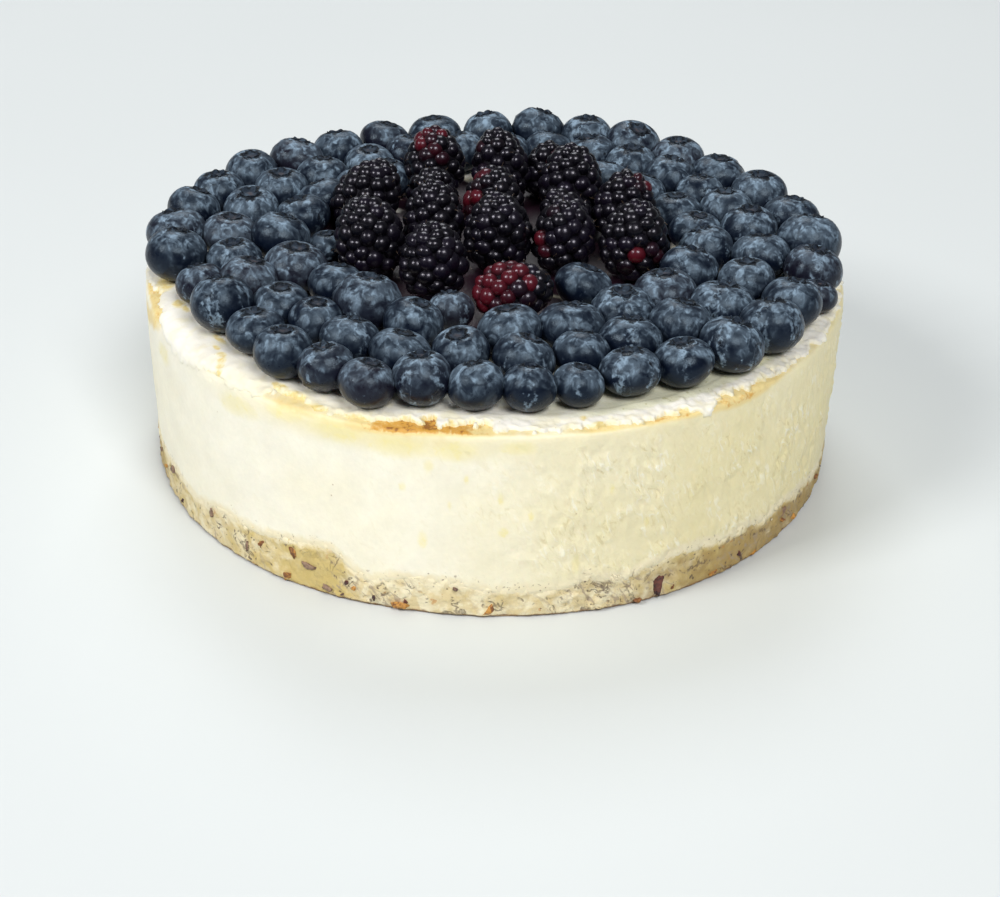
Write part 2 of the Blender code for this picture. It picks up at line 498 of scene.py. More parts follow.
def ragged_mark(cook: Recipe, name: str, size: float) -> Amount:
    """Read a mark of the mesh and give it a ragged edge.

    Args:
        cook: The material that it is for.
        name: The mark.
        size: Width in millimetres of the tears in its edge.

    Returns:
        A share from 0 to 1 that is 0 wherever the mark is.
    """
    mark = cook.mark(name)
    tears = (cook.noise(size, 3.0, twist=0.6) - 0.5) * 2.2
    return (mark + tears).ramp(0.35, 1.15) * mark.ramp(0.0, 0.40)


def custard(cook: Recipe, pale: Colour, yellow: Colour) -> bpy.types.NodeSocket:
    """Mix the baked filling's own colour, which the crust and the thin cream fade into.

    Args:
        cook: The material that the colour is for; its mesh carries the mark pale.
        pale: Where the filling was smeared, and the painted light on the lit left.
        yellow: Where it is bare, and the painted shade on the shaded right.

    Returns:
        The clouded colour.
    """
    tone = (cook.mark("pale") + (cook.noise(26.0) - 0.5) * 0.5).clamped()
    cloud = (cook.noise(9.0, 3.0) - 0.5) * 0.16 + (cook.noise(1.6, 3.0) - 0.5) * 0.09
    return cook.scale(cook.mix(tone, yellow, pale), cloud + 1.0)


@dataclass(frozen=True)
class FillingFinish:
    """Baked custard: pale where it was smeared and on the lit left, yellow where it is bare and on the shaded right,
    browned at the rim; the left-to-right change is partly painted light and shade.
    """

    pale: Colour = PALE_CUSTARD
    yellow: Colour = YELLOW_CUSTARD
    gold: Colour = (0.82, 0.66, 0.31)
    caramel: Colour = (0.66, 0.35, 0.065)
    burnt: Colour = (0.33, 0.14, 0.03)
    stain: Colour = (0.86, 0.76, 0.32)
    crumb: Colour = (0.30, 0.22, 0.14)
    dough: Colour = PALE_DOUGH

    def material(self) -> bpy.types.Material:
        """Build the material."""
        cook = Recipe("baked_filling")
        colour = custard(cook, self.pale, self.yellow)
        drag = cook.mark("drag")
        flake = cook.noise(1.9, 4.0, cook.stretched((1.0, 1.0, 0.50), 3.0), 1.0)
        drag = drag * cook.noise(9.0, 2.0).ramp(0.36, 0.58)
        # Painted light: the flakes' ridges are lightened as painted highlights and their dents darkened as painted
        # shade, on top of their real bumps.
        colour = cook.mix(flake.ramp(0.54, 0.66) * drag * 0.7, colour, (0.96, 0.93, 0.80))
        colour = cook.mix(flake.ramp(0.45, 0.31) * drag * 0.6, colour, (0.62, 0.51, 0.23))
        stain = cook.mark("stain") + (cook.noise(5.0, 3.0) - 0.5) * 0.9
        colour = cook.mix(stain.ramp(0.15, 1.05) * 0.40, colour, self.stain)
        colour = cook.mix(ragged_mark(cook, "stain", 1.1) * cook.noise(3.0).ramp(0.5, 0.62) * 0.45, colour, self.stain)
        dot = cook.cells(6.5).ramp(0.055, 0.025) * cook.noise(21.0, 1.0).ramp(0.50, 0.60)
        colour = cook.mix(dot * 0.6, colour, (0.42, 0.30, 0.16))
        fine = cook.noise(1.1, 4.0) - 0.5
        bake = cook.mark("bake")
        bake = bake + (cook.noise(3.6, 4.0) - 0.5) * (bake.ramp(0.0, 0.3) * 0.6 + bake.ramp(0.6, 1.1) * 0.7)
        colour = cook.mix(bake.ramp(0.12, 0.60), colour, self.gold)
        colour = cook.mix((bake + fine * 0.7).ramp(0.62, 0.98), colour, self.caramel)
        colour = cook.mix((bake + fine * 1.1).ramp(1.05, 1.35), colour, self.burnt)
        low = cook.mark("crumbs")
        crumbly = (low + (cook.noise(4.0, 5.0) - 0.5) * 1.3).ramp(0.30, 1.0) * low.ramp(0.0, 0.2)
        colour = cook.mix(crumbly, colour, self.dough)
        bits = cook.noise(1.3, 3.0).ramp(0.60, 0.68) * cook.noise(5.0, 2.0).ramp(0.46, 0.60) * low.ramp(0.1, 0.6)
        colour = cook.mix(bits * 0.75, colour, self.crumb)
        rough = 0.38 + cook.noise(3.0) * 0.2 + cook.mark("bake") * 0.06 - flake.ramp(0.5, 0.7) * drag * 0.15
        bumps = ((cook.noise(0.9, 4.0), 0.10), (flake * drag, 0.55))
        return cook.finish(colour, rough, bumps, Subsurface_Weight=0.12,
                           Subsurface_Radius=(0.004, 0.0028, 0.0016), Subsurface_Scale=1.0)


@dataclass(frozen=True)
class CreamFinish:
    """White cream, yellower where it is thin, with a painted sage-grey shade on the smooth flat top near the berries.
    """

    white: Colour = (0.89, 0.865, 0.795)
    butter: Colour = (0.88, 0.82, 0.58)
    sage: Colour = (0.74, 0.735, 0.54)
    straw: Colour = (0.86, 0.77, 0.46)
    gold: Colour = (0.78, 0.60, 0.20)
    moss: Colour = (0.42, 0.40, 0.13)
    # Near-black painted shade for the cream under the dark berries, in place of the shadow in the heap's gaps.
    heap_shade: Colour = (0.020, 0.006, 0.014)

    def material(self) -> bpy.types.Material:
        """Build the material."""
        cook = Recipe("white_cream")
        cloud = cook.noise(6.0, 4.0, twist=0.5)
        colour = cook.mix(cloud.ramp(0.46, 0.70) * 0.6, self.white, self.butter)
        # Painted shade: sage-grey on the flat top near the berries, where they shade the cream; the same mark also
        # makes the cream smoother there.
        slick_and_shaded = (cook.mark("slick_and_shaded") + (cook.noise(5.0, 3.0) - 0.5) * 0.9).ramp(0.15, 0.85)
        colour = cook.mix(slick_and_shaded * 0.85, colour, self.sage)
        thin = (cook.mark("thin") + (cook.noise(3.0, 4.0) - 0.5) * 0.6).clamped()
        colour = cook.mix(thin, colour, custard(cook, PALE_CUSTARD, YELLOW_CUSTARD))
        stain = cook.mark("stain")
        colour = cook.mix((stain + (cloud - 0.5) * 0.8).ramp(0.05, 0.80) * 0.75, colour, self.straw)
        colour = cook.mix(ragged_mark(cook, "stain", 1.7) * 0.75, colour, self.gold)
        speck = cook.cells(3.6).ramp(0.08, 0.03) * cook.noise(12.0, 1.0).ramp(0.50, 0.60)
        colour = cook.mix(speck * 0.7, colour, (0.45, 0.33, 0.13))
        # Dark olive mottling that is part of the same painted shade by the berries.
        moss = cook.noise(2.2, 3.0).ramp(0.62, 0.72) * cook.mark("slick_and_shaded").ramp(0.3, 0.8)
        colour = cook.mix(moss * 0.5, colour, self.moss)
        # Painted shade: the cream under the dark berries is darkened to near-black, standing in for the shadow in the
        # heap's gaps.
        heap_shade = cook.mark("heap_shade") + (cook.noise(3.0, 3.0) - 0.5) * 0.5
        colour = cook.mix(heap_shade.ramp(0.25, 0.65), colour, self.heap_shade)
        rough = 0.42 + cook.noise(2.2) * 0.2 - cook.mark("slick_and_shaded") * 0.08
        return cook.finish(colour, rough, ((cook.noise(0.8, 4.0), 0.10),), Subsurface_Weight=0.15,
                           Subsurface_Radius=(0.004, 0.0035, 0.003), Subsurface_Scale=1.0)


@dataclass(frozen=True)
class CrustFinish:
    """Pressed crumbs and nuts: olive-tan dough, smooth olive patches, grey skins and rust bits."""

    dough: Colour = (0.70, 0.58, 0.33)
    light: Colour = (0.82, 0.74, 0.52)
    olive: Colour = (0.59, 0.45, 0.155)
    brown: Colour = (0.37, 0.245, 0.080)
    dark: Colour = (0.12, 0.080, 0.055)
    grey: Colour = (0.37, 0.29, 0.205)
    rust: Colour = (0.50, 0.20, 0.035)
    foot: Colour = (0.24, 0.12, 0.05)

    def material(self) -> bpy.types.Material:
        """Build the material."""
        cook = Recipe("nut_crust")
        grit = cook.mark("grit")
        calm = 1.0 - cook.mark("olive").ramp(0.75, 1.0)
        colour = cook.mix(cook.noise(4.5, 4.0, twist=0.6).ramp(0.38, 0.60), self.light, self.dough)
        patch = (cook.mark("olive") + (cook.noise(6.0, 5.0, twist=0.5) - 0.5) * 1.6).ramp(0.22, 0.95)
        colour = cook.mix(patch * 0.9, colour, self.olive)
        shade = (cook.mark("brown") + (cook.noise(4.0, 4.0) - 0.5) * 1.2).ramp(0.25, 0.90)
        colour = cook.mix(shade * 0.85, colour, self.brown)
        ashen = cook.noise(2.6, 4.0, cook.stretched((1.0, 1.0, 0.6), 6.0), 1.0).ramp(0.54, 0.66)
        colour = cook.mix(ashen * grit.ramp(0.2, 0.8) * calm * 0.8, colour, self.grey)
        bit = cook.noise(2.9, 3.0).ramp(0.64, 0.69) * cook.noise(9.0, 1.0).ramp(0.46, 0.58)
        colour = cook.mix(bit * 0.6, colour, self.rust)
        vein = cook.noise(6.5, 3.0, twist=0.9) - 0.5
        vein = vein.math("ABSOLUTE", vein).ramp(0.034, 0.004)
        cluster = (cook.noise(5.5, 3.0) + grit * 0.14).ramp(0.58, 0.68) * calm
        colour = cook.mix(vein * cluster * 0.65, colour, self.dark)
        blot = (cook.noise(1.9, 4.0) + cook.noise(9.0) * 0.3 + grit * 0.07).ramp(0.83, 0.90) * calm
        colour = cook.mix(blot * 0.85, colour, self.dark)
        edge = (cook.mark("foot") + (cook.noise(2.4, 4.0) - 0.5) * 1.3).ramp(0.35, 0.95)
        colour = cook.mix(edge * 0.85, colour, self.foot)
        blend = (cook.mark("upper") + (cook.noise(3.4, 5.0) - 0.5) * 1.4).ramp(0.30, 0.95)
        blend = blend * (1.0 - cook.noise(1.0, 3.0).ramp(0.60, 0.68) * 0.8)
        colour = cook.mix(blend, colour, PALE_DOUGH)
        rough = 0.58 + cook.noise(2.0) * 0.25
        bumps = ((cook.noise(0.9, 4.0), 0.25), (1.0 - vein * cluster, 0.25))
        return cook.finish(colour, rough, bumps, Subsurface_Weight=0.05,
                           Subsurface_Radius=(0.003, 0.002, 0.001), Subsurface_Scale=1.0)


@dataclass(frozen=True)
class NutFinish:
    """One kind of nut bit, with a darker skin over its flesh in cloudy patches."""

    name: str
    flesh: Colour
    skin: Colour

    def material(self) -> bpy.types.Material:
        """Build the material."""
        cook = Recipe(self.name)
        shade = (cook.noise(1.6, 4.0, twist=0.8) + (cook.mark("shade") - 0.5) * 0.3).ramp(0.38, 0.62)
        colour = cook.mix(shade, self.flesh, self.skin)
        colour = cook.scale(colour, 0.75 + cook.noise(0.8, 2.0) * 0.5)
        rough = 0.40 + cook.noise(1.5) * 0.3
        return cook.finish(colour, rough, ((cook.noise(0.9, 4.0), 0.45),))


@dataclass(frozen=True)
class BlueberryFinish:
    """Navy skin under a pale bloom that is rubbed off in places, with a dry brown crown; the bloom is painted thicker
    on top as painted light, and the crown has a painted dark crease and a painted rim highlight.
    """

    skin: Colour = (0.0030, 0.0058, 0.0150)
    bloom: Colour = (0.235, 0.325, 0.425)
    plum: Colour = (0.0085, 0.0066, 0.0135)
    # Near-black for real nicks, and for the painted shade in the crown's crease.
    pit: Colour = (0.004, 0.004, 0.006)
    scar: Colour = (0.075, 0.055, 0.055)

    def material(self) -> bpy.types.Material:
        """Build the material."""
        cook = Recipe("blueberry_skin")
        shade = cook.mark("shade")
        upper = cook.mark("upper")
        # Painted light: the upper mark adds bloom towards each berry's top and the cover below cuts it to little on
        # the underside, so tops read lit and undersides shaded, over a real bloom.
        film = (cook.noise(5.5, 3.0, twist=0.8) + cook.mark("dust") * 0.20 + upper * 0.16).ramp(0.48, 0.95)
        down = cook.stretched((1.0, 1.0, 0.5))
        streak = cook.noise(2.3, 5.0, down, 0.7).ramp(0.42, 0.74)
        patch = (cook.noise(5.5, 2.0, twist=1.2) + cook.mark("dust") * 0.20 + upper * 0.16).ramp(0.52, 0.86)
        rub = cook.noise(5.0, 4.0, twist=1.2).ramp(0.52, 0.61)
        cover = (film * 0.26 + streak * patch * 0.80) * (1.0 - rub * 0.68) * (0.08 + upper * 0.92)
        cover = cover * (0.62 + cook.noise(0.8, 3.0) * 0.76)
        base = cook.mix(shade.ramp(0.80, 1.0), self.skin, self.plum)
        colour = cook.mix(cover.clamped(), base, self.bloom)
        nick = cook.cells(2.0).ramp(0.14, 0.05) * cook.noise(5.0, 1.0).ramp(0.52, 0.62)
        colour = cook.mix(nick * 0.8, colour, self.pit)
        edge = cook.mark("crown") - cook.mark("lobe") * 0.45 - cook.noise(1.4, 3.0) * 0.70 - 0.30
        inside = edge.ramp(0.04, -0.10)
        colour = cook.mix(inside * 0.75, colour, self.skin)
        scar = cook.mark("crown").ramp(0.55, 0.15) * cook.noise(1.6, 2.0).ramp(0.42, 0.62)
        colour = cook.mix(scar * shade * 0.8, colour, self.scar)
        # Painted shade: a near-black jagged ring in the crown's crease; its bump is the real groove.
        crease_and_shade = edge.math("ABSOLUTE", edge).ramp(0.32, 0.12) * cook.noise(1.8, 2.0).ramp(0.34, 0.46)
        # A bright ring of bloom colour round the crown's rim: partly bloom, partly a painted highlight.
        rim_bloom_and_highlight = (edge - 0.30).math("ABSOLUTE", edge - 0.30).ramp(0.16, 0.03) * streak
        colour = cook.mix(rim_bloom_and_highlight * 0.95, colour, self.bloom)
        colour = cook.mix(crease_and_shade * 0.95, colour, self.pit)
        rough = 0.22 + cover * 0.50 + cook.noise(2.0) * 0.14 + inside * 0.25
        bumps = ((cook.noise(1.3, 4.0), 0.12), (crease_and_shade * -1.0, 0.25))
        return cook.finish(colour, rough, bumps, Specular_IOR_Level=0.26, Specular_Tint=(0.66, 0.84, 1.0, 1.0))


@dataclass(frozen=True)
class DarkBerryFinish:
    """Glossy near-black drupelets, some of them still red."""

    ripe: Colour = (0.0016, 0.0013, 0.0030)
    violet: Colour = (0.0048, 0.0032, 0.0085)
    red: Colour = (0.075, 0.0040, 0.0095)
    crimson: Colour = (0.016, 0.0025, 0.0060)
    crevice_shade: Colour = (0.0012, 0.0008, 0.0015)
    thread: Colour = (0.16, 0.11, 0.07)

    def material(self) -> bpy.types.Material:
        """Build the material."""
        cook = Recipe("dark_berry_skin")
        shade = cook.mark("shade")
        unripe = (cook.mark("unripe") + (cook.noise(1.8, 2.0) - 0.5) * 0.30).clamped()
        dark = cook.mix((shade + (cook.noise(2.5) - 0.5) * 0.6).ramp(0.35, 0.95), self.ripe, self.violet)
        colour = cook.mix(unripe.ramp(0.12, 0.45), dark, self.crimson)
        colour = cook.mix(unripe.ramp(0.45, 0.90), colour, self.red)
        # Painted shade: the low sides of the drupelets and the core are darkened towards near-black, for the shade in
        # the crevices between drupelets.
        colour = cook.mix(cook.mark("deep") * 0.85, colour, self.crevice_shade)
        colour = cook.mix(cook.mark("thread"), colour, self.thread)
        rough = 0.22 + cook.noise(1.6, 2.0) * 0.16 + cook.mark("deep") * 0.45
        cook.feed(cook.shader.inputs["Coat Weight"], (1.0 - cook.mark("deep")) * 0.28)
        return cook.finish(colour, rough, ((cook.noise(1.4, 3.0), 0.14),), Specular_IOR_Level=0.32,
                           Specular_Tint=(0.84, 0.80, 1.0, 1.0), Coat_Roughness=0.06)


# ---------------------------------------------------------------------------------------------
# Meshes
# ---------------------------------------------------------------------------------------------


def places_of(piece: bpy.types.Object) -> Array:
    """Read a piece's corners as an array."""
    flat = np.empty(len(piece.data.vertices) * 3)
    piece.data.vertices.foreach_get("co", flat)
    return flat.reshape(-1, 3)


def set_places(piece: bpy.types.Object, places: Array) -> None:
    """Move a piece's corners to places in metres."""
    piece.data.vertices.foreach_set("co", places.astype(np.float32).ravel())
    piece.data.update()


def carry(piece: bpy.types.Object, name: str, values: Array) -> None:
    """Store one share at each corner of a piece, for its material.

    Args:
        piece: The piece.
        name: The mark's name.
        values: One value for each corner.
    """
    mark = piece.data.attributes.new(name, "FLOAT", "POINT")
    mark.data.foreach_set("value", np.clip(values, 0.0, 1.5).astype(np.float32))


def edit(piece: bpy.types.Object, kind: str) -> None:
    """Open a piece in edit mode with nothing selected.

    Args:
        piece: The piece.
        kind: VERT, EDGE or FACE.
    """
    bpy.context.view_layer.objects.active = piece
    bpy.ops.object.mode_set(mode="EDIT")
    bpy.ops.mesh.select_mode(type=kind)
    bpy.ops.mesh.select_all(action="DESELECT")


def choose(elements: bpy.types.bpy_prop_collection, chosen: Array) -> None:
    """Select some vertices, edges or faces of the piece that is open in edit mode.

    Args:
        elements: The mesh's collection of them.
        chosen: True for each one to select.
    """
    bpy.ops.object.mode_set(mode="OBJECT")
    elements.foreach_set("select", chosen.astype(bool))
    bpy.ops.object.mode_set(mode="EDIT")


def dress(piece: bpy.types.Object, material: bpy.types.Material, slot: str, *nodes: str) -> bpy.types.Object:
    """Finish a piece: smooth shading, its material, its body and the nodes that it stands for.

    Args:
        piece: The piece.
        material: Its finish.
        slot: The record's slot of that finish; not used.
        nodes: The CAD nodes that it replaces.

    Returns:
        The same piece.
    """
    piece.data.materials.clear()
    piece.data.materials.append(material)
    piece.data.shade_smooth()
    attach(piece, "root")
    if nodes:
        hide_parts(*nodes)
    log.info("%s: %d faces", piece.name, len(piece.data.polygons))
    return piece


class Wall:
    """A turned shell: a cylinder whose wall is cut into rows that are then laid along the cake's skin."""

    def __init__(self, name: str, columns: int, rows: int) -> None:
        """Add the cylinder and cut it.

        Args:
            name: The piece's name.
            columns: How many faces go round.
            rows: How many rows of faces lie between the two ends.
        """
        bpy.ops.object.select_all(action="DESELECT")
        bpy.ops.mesh.primitive_cylinder_add(vertices=columns, radius=1.0, depth=1.0)
        self.piece = bpy.context.object
        self.piece.name = name
        mesh = self.piece.data
        heights = places_of(self.piece)[:, 2]
        ends = np.empty(len(mesh.edges) * 2, int)
        mesh.edges.foreach_get("vertices", ends)
        lower, upper = heights[ends.reshape(-1, 2)].T
        edit(self.piece, "EDGE")
        choose(mesh.edges, np.abs(upper - lower) > 0.5)
        bpy.ops.mesh.subdivide(number_cuts=rows - 1)
        bpy.ops.object.mode_set(mode="OBJECT")
        corners = places_of(self.piece)
        self.angle = np.arctan2(corners[:, 1], corners[:, 0])
        self.heading = np.degrees(self.angle)
        self.row = np.rint((0.5 - corners[:, 2]) * rows).astype(int)

    def lay(self, places: Array) -> None:
        """Put the corners at their places in millimetres and turn the faces outwards."""
        set_places(self.piece, places * MM)
        edit(self.piece, "FACE")
        bpy.ops.mesh.select_all(action="SELECT")
        bpy.ops.mesh.normals_make_consistent(inside=False)
        bpy.ops.object.mode_set(mode="OBJECT")


@dataclass
class Shape:
    """A shape that is modelled once and kept as bare corners and faces, to be copied."""

    places: Array
    corners: Array
    counts: Array
    marks: dict[str, Array] = field(default_factory=dict)

    @classmethod
    def taken_from(cls, model: bpy.types.Object) -> "Shape":
        """Keep a model's mesh and remove the model.

        Args:
            model: The object that was modelled.

        Returns:
            Its shape.
        """
        mesh = model.data
        corners = np.empty(len(mesh.loops), int)
        mesh.loops.foreach_get("vertex_index", corners)
        counts = np.empty(len(mesh.polygons), int)
        mesh.polygons.foreach_get("loop_total", counts)
        shape = cls(places_of(model), corners, counts)
        bpy.data.objects.remove(model, do_unlink=True)
        bpy.data.meshes.remove(mesh)
        return shape

    def copied(self, places: Array, **marks: Array | float) -> "Shape":
        """Copy the shape to other places.

        Args:
            places: Where its corners go.
            marks: Shares for its material, one for all corners or one for each.

        Returns:
            The copy.
        """
        spread = {name: np.broadcast_to(value, len(places)) for name, value in marks.items()}
        return Shape(places, self.corners, self.counts, {**self.marks, **spread})


def gathered(name: str, shapes: list[Shape]) -> bpy.types.Object:
    """Make one piece of many shapes.

    Args:
        name: The piece's name.
        shapes: The shapes, in metres, all with the same marks.

    Returns:
        The new piece.
    """
    starts = np.cumsum([0] + [len(shape.places) for shape in shapes[:-1]])
    corners = np.concatenate([shape.corners + start for shape, start in zip(shapes, starts)])
    counts = np.concatenate([shape.counts for shape in shapes])
    places = np.concatenate([shape.places for shape in shapes])
    mesh = bpy.data.meshes.new(name)
    mesh.vertices.add(len(places))
    mesh.loops.add(len(corners))
    mesh.polygons.add(len(counts))
    mesh.vertices.foreach_set("co", places.astype(np.float32).ravel())
    mesh.loops.foreach_set("vertex_index", corners)
    mesh.polygons.foreach_set("loop_start", np.concatenate([[0], np.cumsum(counts)[:-1]]))
    mesh.update(calc_edges=True)
    mesh.validate()
    piece = bpy.data.objects.new(name, mesh)
    bpy.context.scene.collection.objects.link(piece)
    for mark in shapes[0].marks:
        carry(piece, mark, np.concatenate([shape.marks[mark] for shape in shapes]))
    return piece


def turn_of(tilt: float, heading: float, spin: float) -> Array:
    """Give the turn of something that is spun about its axis and then leans.

    Args:
        tilt: Degrees of lean from upright.
        heading: Degrees; where it leans to.
        spin: Degrees about its own axis.

    Returns:
        A 3 by 3 turning matrix.
    """
    towards = Matrix.Rotation(math.radians(heading), 3, "Z")
    lean = Matrix.Rotation(math.radians(tilt), 3, "Y")
    own = Matrix.Rotation(math.radians(spin), 3, "Z")
    return np.array(towards @ lean @ towards.inverted() @ own)


# ---------------------------------------------------------------------------------------------
# The cake
# ---------------------------------------------------------------------------------------------


# How high the crust's upper edge lies on the side.
CRUST_EDGE: Stations = ((-180, 12.5), (-165, 11.5), (-155, 13.0), (-150, 12.6), (-145, 11.6), (-138, 13.6),
                        (-130, 14.6), (-125, 15.6), (-120, 16.6), (-117, 19.2), (-114, 18.6), (-111, 13.0),
                        (-108, 9.4), (-103, 12.2), (-100, 12.6), (-95, 12.4), (-90, 9.8), (-85, 11.4),
                        (-78, 11.6), (-75, 13.2), (-70, 10.8), (-66, 13.4), (-62, 15.0), (-52, 15.6),
                        (-45, 14.8), (-40, 11.8), (-36, 14.2), (-30, 11.8), (-22, 11.6), (0, 13.0),
                        (20, 10.5), (40, 13.5), (60, 15.0), (75, 11.0), (95, 12.5), (115, 10.5),
                        (135, 15.0), (150, 12.0), (165, 14.0))


@dataclass(frozen=True)
class CakeForm:
    """The cake's outer form in millimetres, shared by all its layers."""

    radius: float = 114.5
    height: float = 65.2          # table to the flat top of the cream
    rim: float = 63.3             # table to the top of the filling at the rim
    bed: float = 62.0             # table to the top of the filling under the cream
    taper: float = 1.3
    corner: float = 0.75          # how softly the rim is rounded
    smeared_corner: float = 1.5   # how much softer it is where the cream was wiped over it

    def side(self, angle: Array, height: Array) -> Array:
        """Give the radius of the side.

        Args:
            angle: Headings in radians.
            height: Heights above the table.

        Returns:
            Distances from the axis.
        """
        swell = 0.5 * np.sin(2.0 * angle + 0.8) + 0.3 * np.sin(6.0 * angle + 2.0)
        return self.radius + swell + self.taper * (height / self.height - 1.0)

    def crust_edge(self, angle: Array) -> Array:
        """Give the height of the crust's upper edge on the side at each heading in radians."""
        quick = 0.7 * np.sin(11.0 * angle + 1.9) + 0.5 * np.sin(23.0 * angle)
        return around(CRUST_EDGE, np.degrees(angle)) + quick

    def skin(self, angle: Array, reach: Array) -> tuple[Array, Array]:
        """Lay the bare filling's skin.

        Args:
            angle: Headings in radians.
            reach: Distances from the rim along the skin.

        Returns:
            Places on the skin and the outward direction at each.
        """
        corner = self.corner + self.smeared_corner * hill(np.degrees(angle), -146.0, 42.0)
        inward = corner * np.logaddexp(0.0, -reach / corner)
        drop = corner * np.logaddexp(0.0, reach / corner)
        sink = (self.rim - self.bed) * smooth(-reach, 6.0, 15.0)
        height = self.rim - drop - sink
        radius = np.maximum(self.side(angle, height) - inward, 0.0)
        flat = 1.0 / (1.0 + np.exp(np.clip(reach / corner, -40.0, 40.0)))
        up = flat / np.hypot(flat, 1.0 - flat)
        out = (1.0 - flat) / np.hypot(flat, 1.0 - flat)
        ring = np.stack([np.cos(angle), np.sin(angle)], axis=1)
        places = np.column_stack([ring * radius[:, None], height])
        return places, np.column_stack([ring * out[:, None], up])


FORM = CakeForm()

# How brown the bare rim is, from 0 to 1.
BROWNED: Stations = ((-180, 0.4), (-170, 0.6), (-166, 0.7), (-158, 0.6), (-150, 0.15), (-143, 0.3),
                     (-139, 0.7), (-134, 0.4), (-130, 0.1), (-126, 0.35), (-121, 0.55), (-117, 0.3),
                     (-113, 0.3), (-109, 0.5), (-106.5, 0.85), (-103, 1.0), (-98, 1.15), (-95, 0.95),
                     (-91, 0.65), (-86, 0.35), (-80, 0.2), (-77, 0.5), (-74, 0.65), (-70, 0.4),
                     (-66, 0.75), (-60, 0.75), (-57, 0.3), (-53, 0.65), (-45, 0.7), (-41, 0.55),
                     (-36, 0.3), (-30, 0.3), (-20, 0.15), (0, 0.1), (20, 0.3), (45, 0.6), (60, 0.35),
                     (80, 0.75), (100, 0.4), (120, 0.7), (145, 0.35), (165, 0.65))

# How far the cream's edge reaches past the rim.
CREAM_REACH: Stations = ((-180, 4.0), (-170, -2.0), (-166, -4.0), (-160, -2.0), (-155, 3.0), (-147, 6.0),
                         (-142, 4.0), (-137, -1.0), (-132, 3.5), (-128, 1.0), (-125, -5.0),
                         (-120, -5.0), (-116, -1.0), (-112, -1.5), (-107, -3.5), (-102, -4.6),
                         (-99, -6.5), (-97.5, -3.0), (-95, -5.5), (-91, -5.0), (-87, -2.6),
                         (-82, -1.0), (-79, -1.6), (-76, -4.0), (-74, -2.0), (-71, -2.6), (-66, -2.4),
                         (-59, -2.0), (-57.5, 1.5), (-56, 2.0), (-54.5, -2.4), (-47, -2.6), (-42, -2.2),
                         (-39, -1.0), (-30, -0.6), (-26, 0.2), (-20, -1.0), (0, -1.5), (15, 0.5),
                         (30, -2.0), (45, -4.0), (60, 1.0), (75, -3.0), (90, -4.5), (105, 0.0),
                         (120, -4.0), (135, 1.5), (150, -2.0), (165, -3.5), (172, 2.0))

# Custard-yellow stains on the side and golden patches on the rim: heading, reach, half their width
# and half their height.
Dabs = tuple[tuple[float, float, float, float], ...]
STAINS: Dabs = (
    (-100.0, 36.5, 1.8, 3.4), (-88.5, 21.0, 1.2, 2.8), (-88.0, 32.5, 2.2, 2.0), (-103.0, 19.0, 1.4, 1.8),
    (-93.5, 15.0, 1.2, 2.0), (-77.0, 44.5, 1.4, 4.0), (-96.0, 24.0, 0.8, 1.8), (-84.0, 27.0, 0.9, 1.8),
    (-99.0, 11.0, 1.8, 2.2), (-72.0, 20.0, 1.0, 2.2), (-66.0, 34.0, 1.0, 2.0), (75.0, 30.0, 2.0, 3.0),
    (100.0, 18.0, 1.5, 2.5), (130.0, 36.0, 1.8, 2.0), (20.0, 24.0, 1.4, 2.6), (160.0, 26.0, 1.2, 2.4),
    (-131.0, 7.0, 9.0, 4.0), (-122.0, 2.5, 8.0, 3.5), (-113.0, 4.0, 10.0, 4.0), (-104.0, 5.5, 10.0, 4.5),
    (-95.0, 5.5, 8.0, 4.0), (-86.0, 4.0, 6.0, 2.5), (-154.0, 9.0, 6.0, 4.0), (70.0, 5.0, 12.0, 4.0),
    (140.0, 5.0, 12.0, 4.0), (10.0, 6.0, 10.0, 4.0))
GOLDEN: Dabs = (
    (-169.0, -7.0, 7.0, 3.5), (-160.0, -8.5, 3.5, 2.0), (-157.5, -10.0, 3.0, 1.2), (-144.0, -11.5, 5.0, 1.2),
    (-141.8, -8.2, 2.2, 1.0), (-139.4, -7.2, 2.4, 1.3), (-138.0, -5.4, 1.8, 1.6), (-137.2, -3.4, 1.5, 1.7),
    (-136.2, -1.2, 1.3, 1.6), (-125.0, -6.5, 3.5, 1.4), (-121.5, -4.5, 4.0, 2.2), (-117.0, -2.0, 4.5, 1.8),
    (-110.5, -1.0, 4.0, 2.0), (-76.0, -6.0, 1.3, 1.3), (-74.0, -2.5, 2.5, 1.2), (150.0, -6.5, 6.0, 2.0),
    (95.0, -6.0, 8.0, 2.0), (40.0, -6.5, 7.0, 2.0))

# How far the side is whitened, from 0 to 1: partly a thin smear of cream, partly painted light that lightens the lit
# left and leaves the shaded right yellow.
SMEAR_AND_LIGHT: Stations = ((-180, 0.5), (-160, 0.85), (-125, 0.95), (-100, 0.85), (-88, 0.65), (-78, 0.35),
                     (-60, 0.12), (-20, 0.0), (15, 0.1), (50, 0.45), (90, 0.7), (130, 0.5), (160, 0.4))

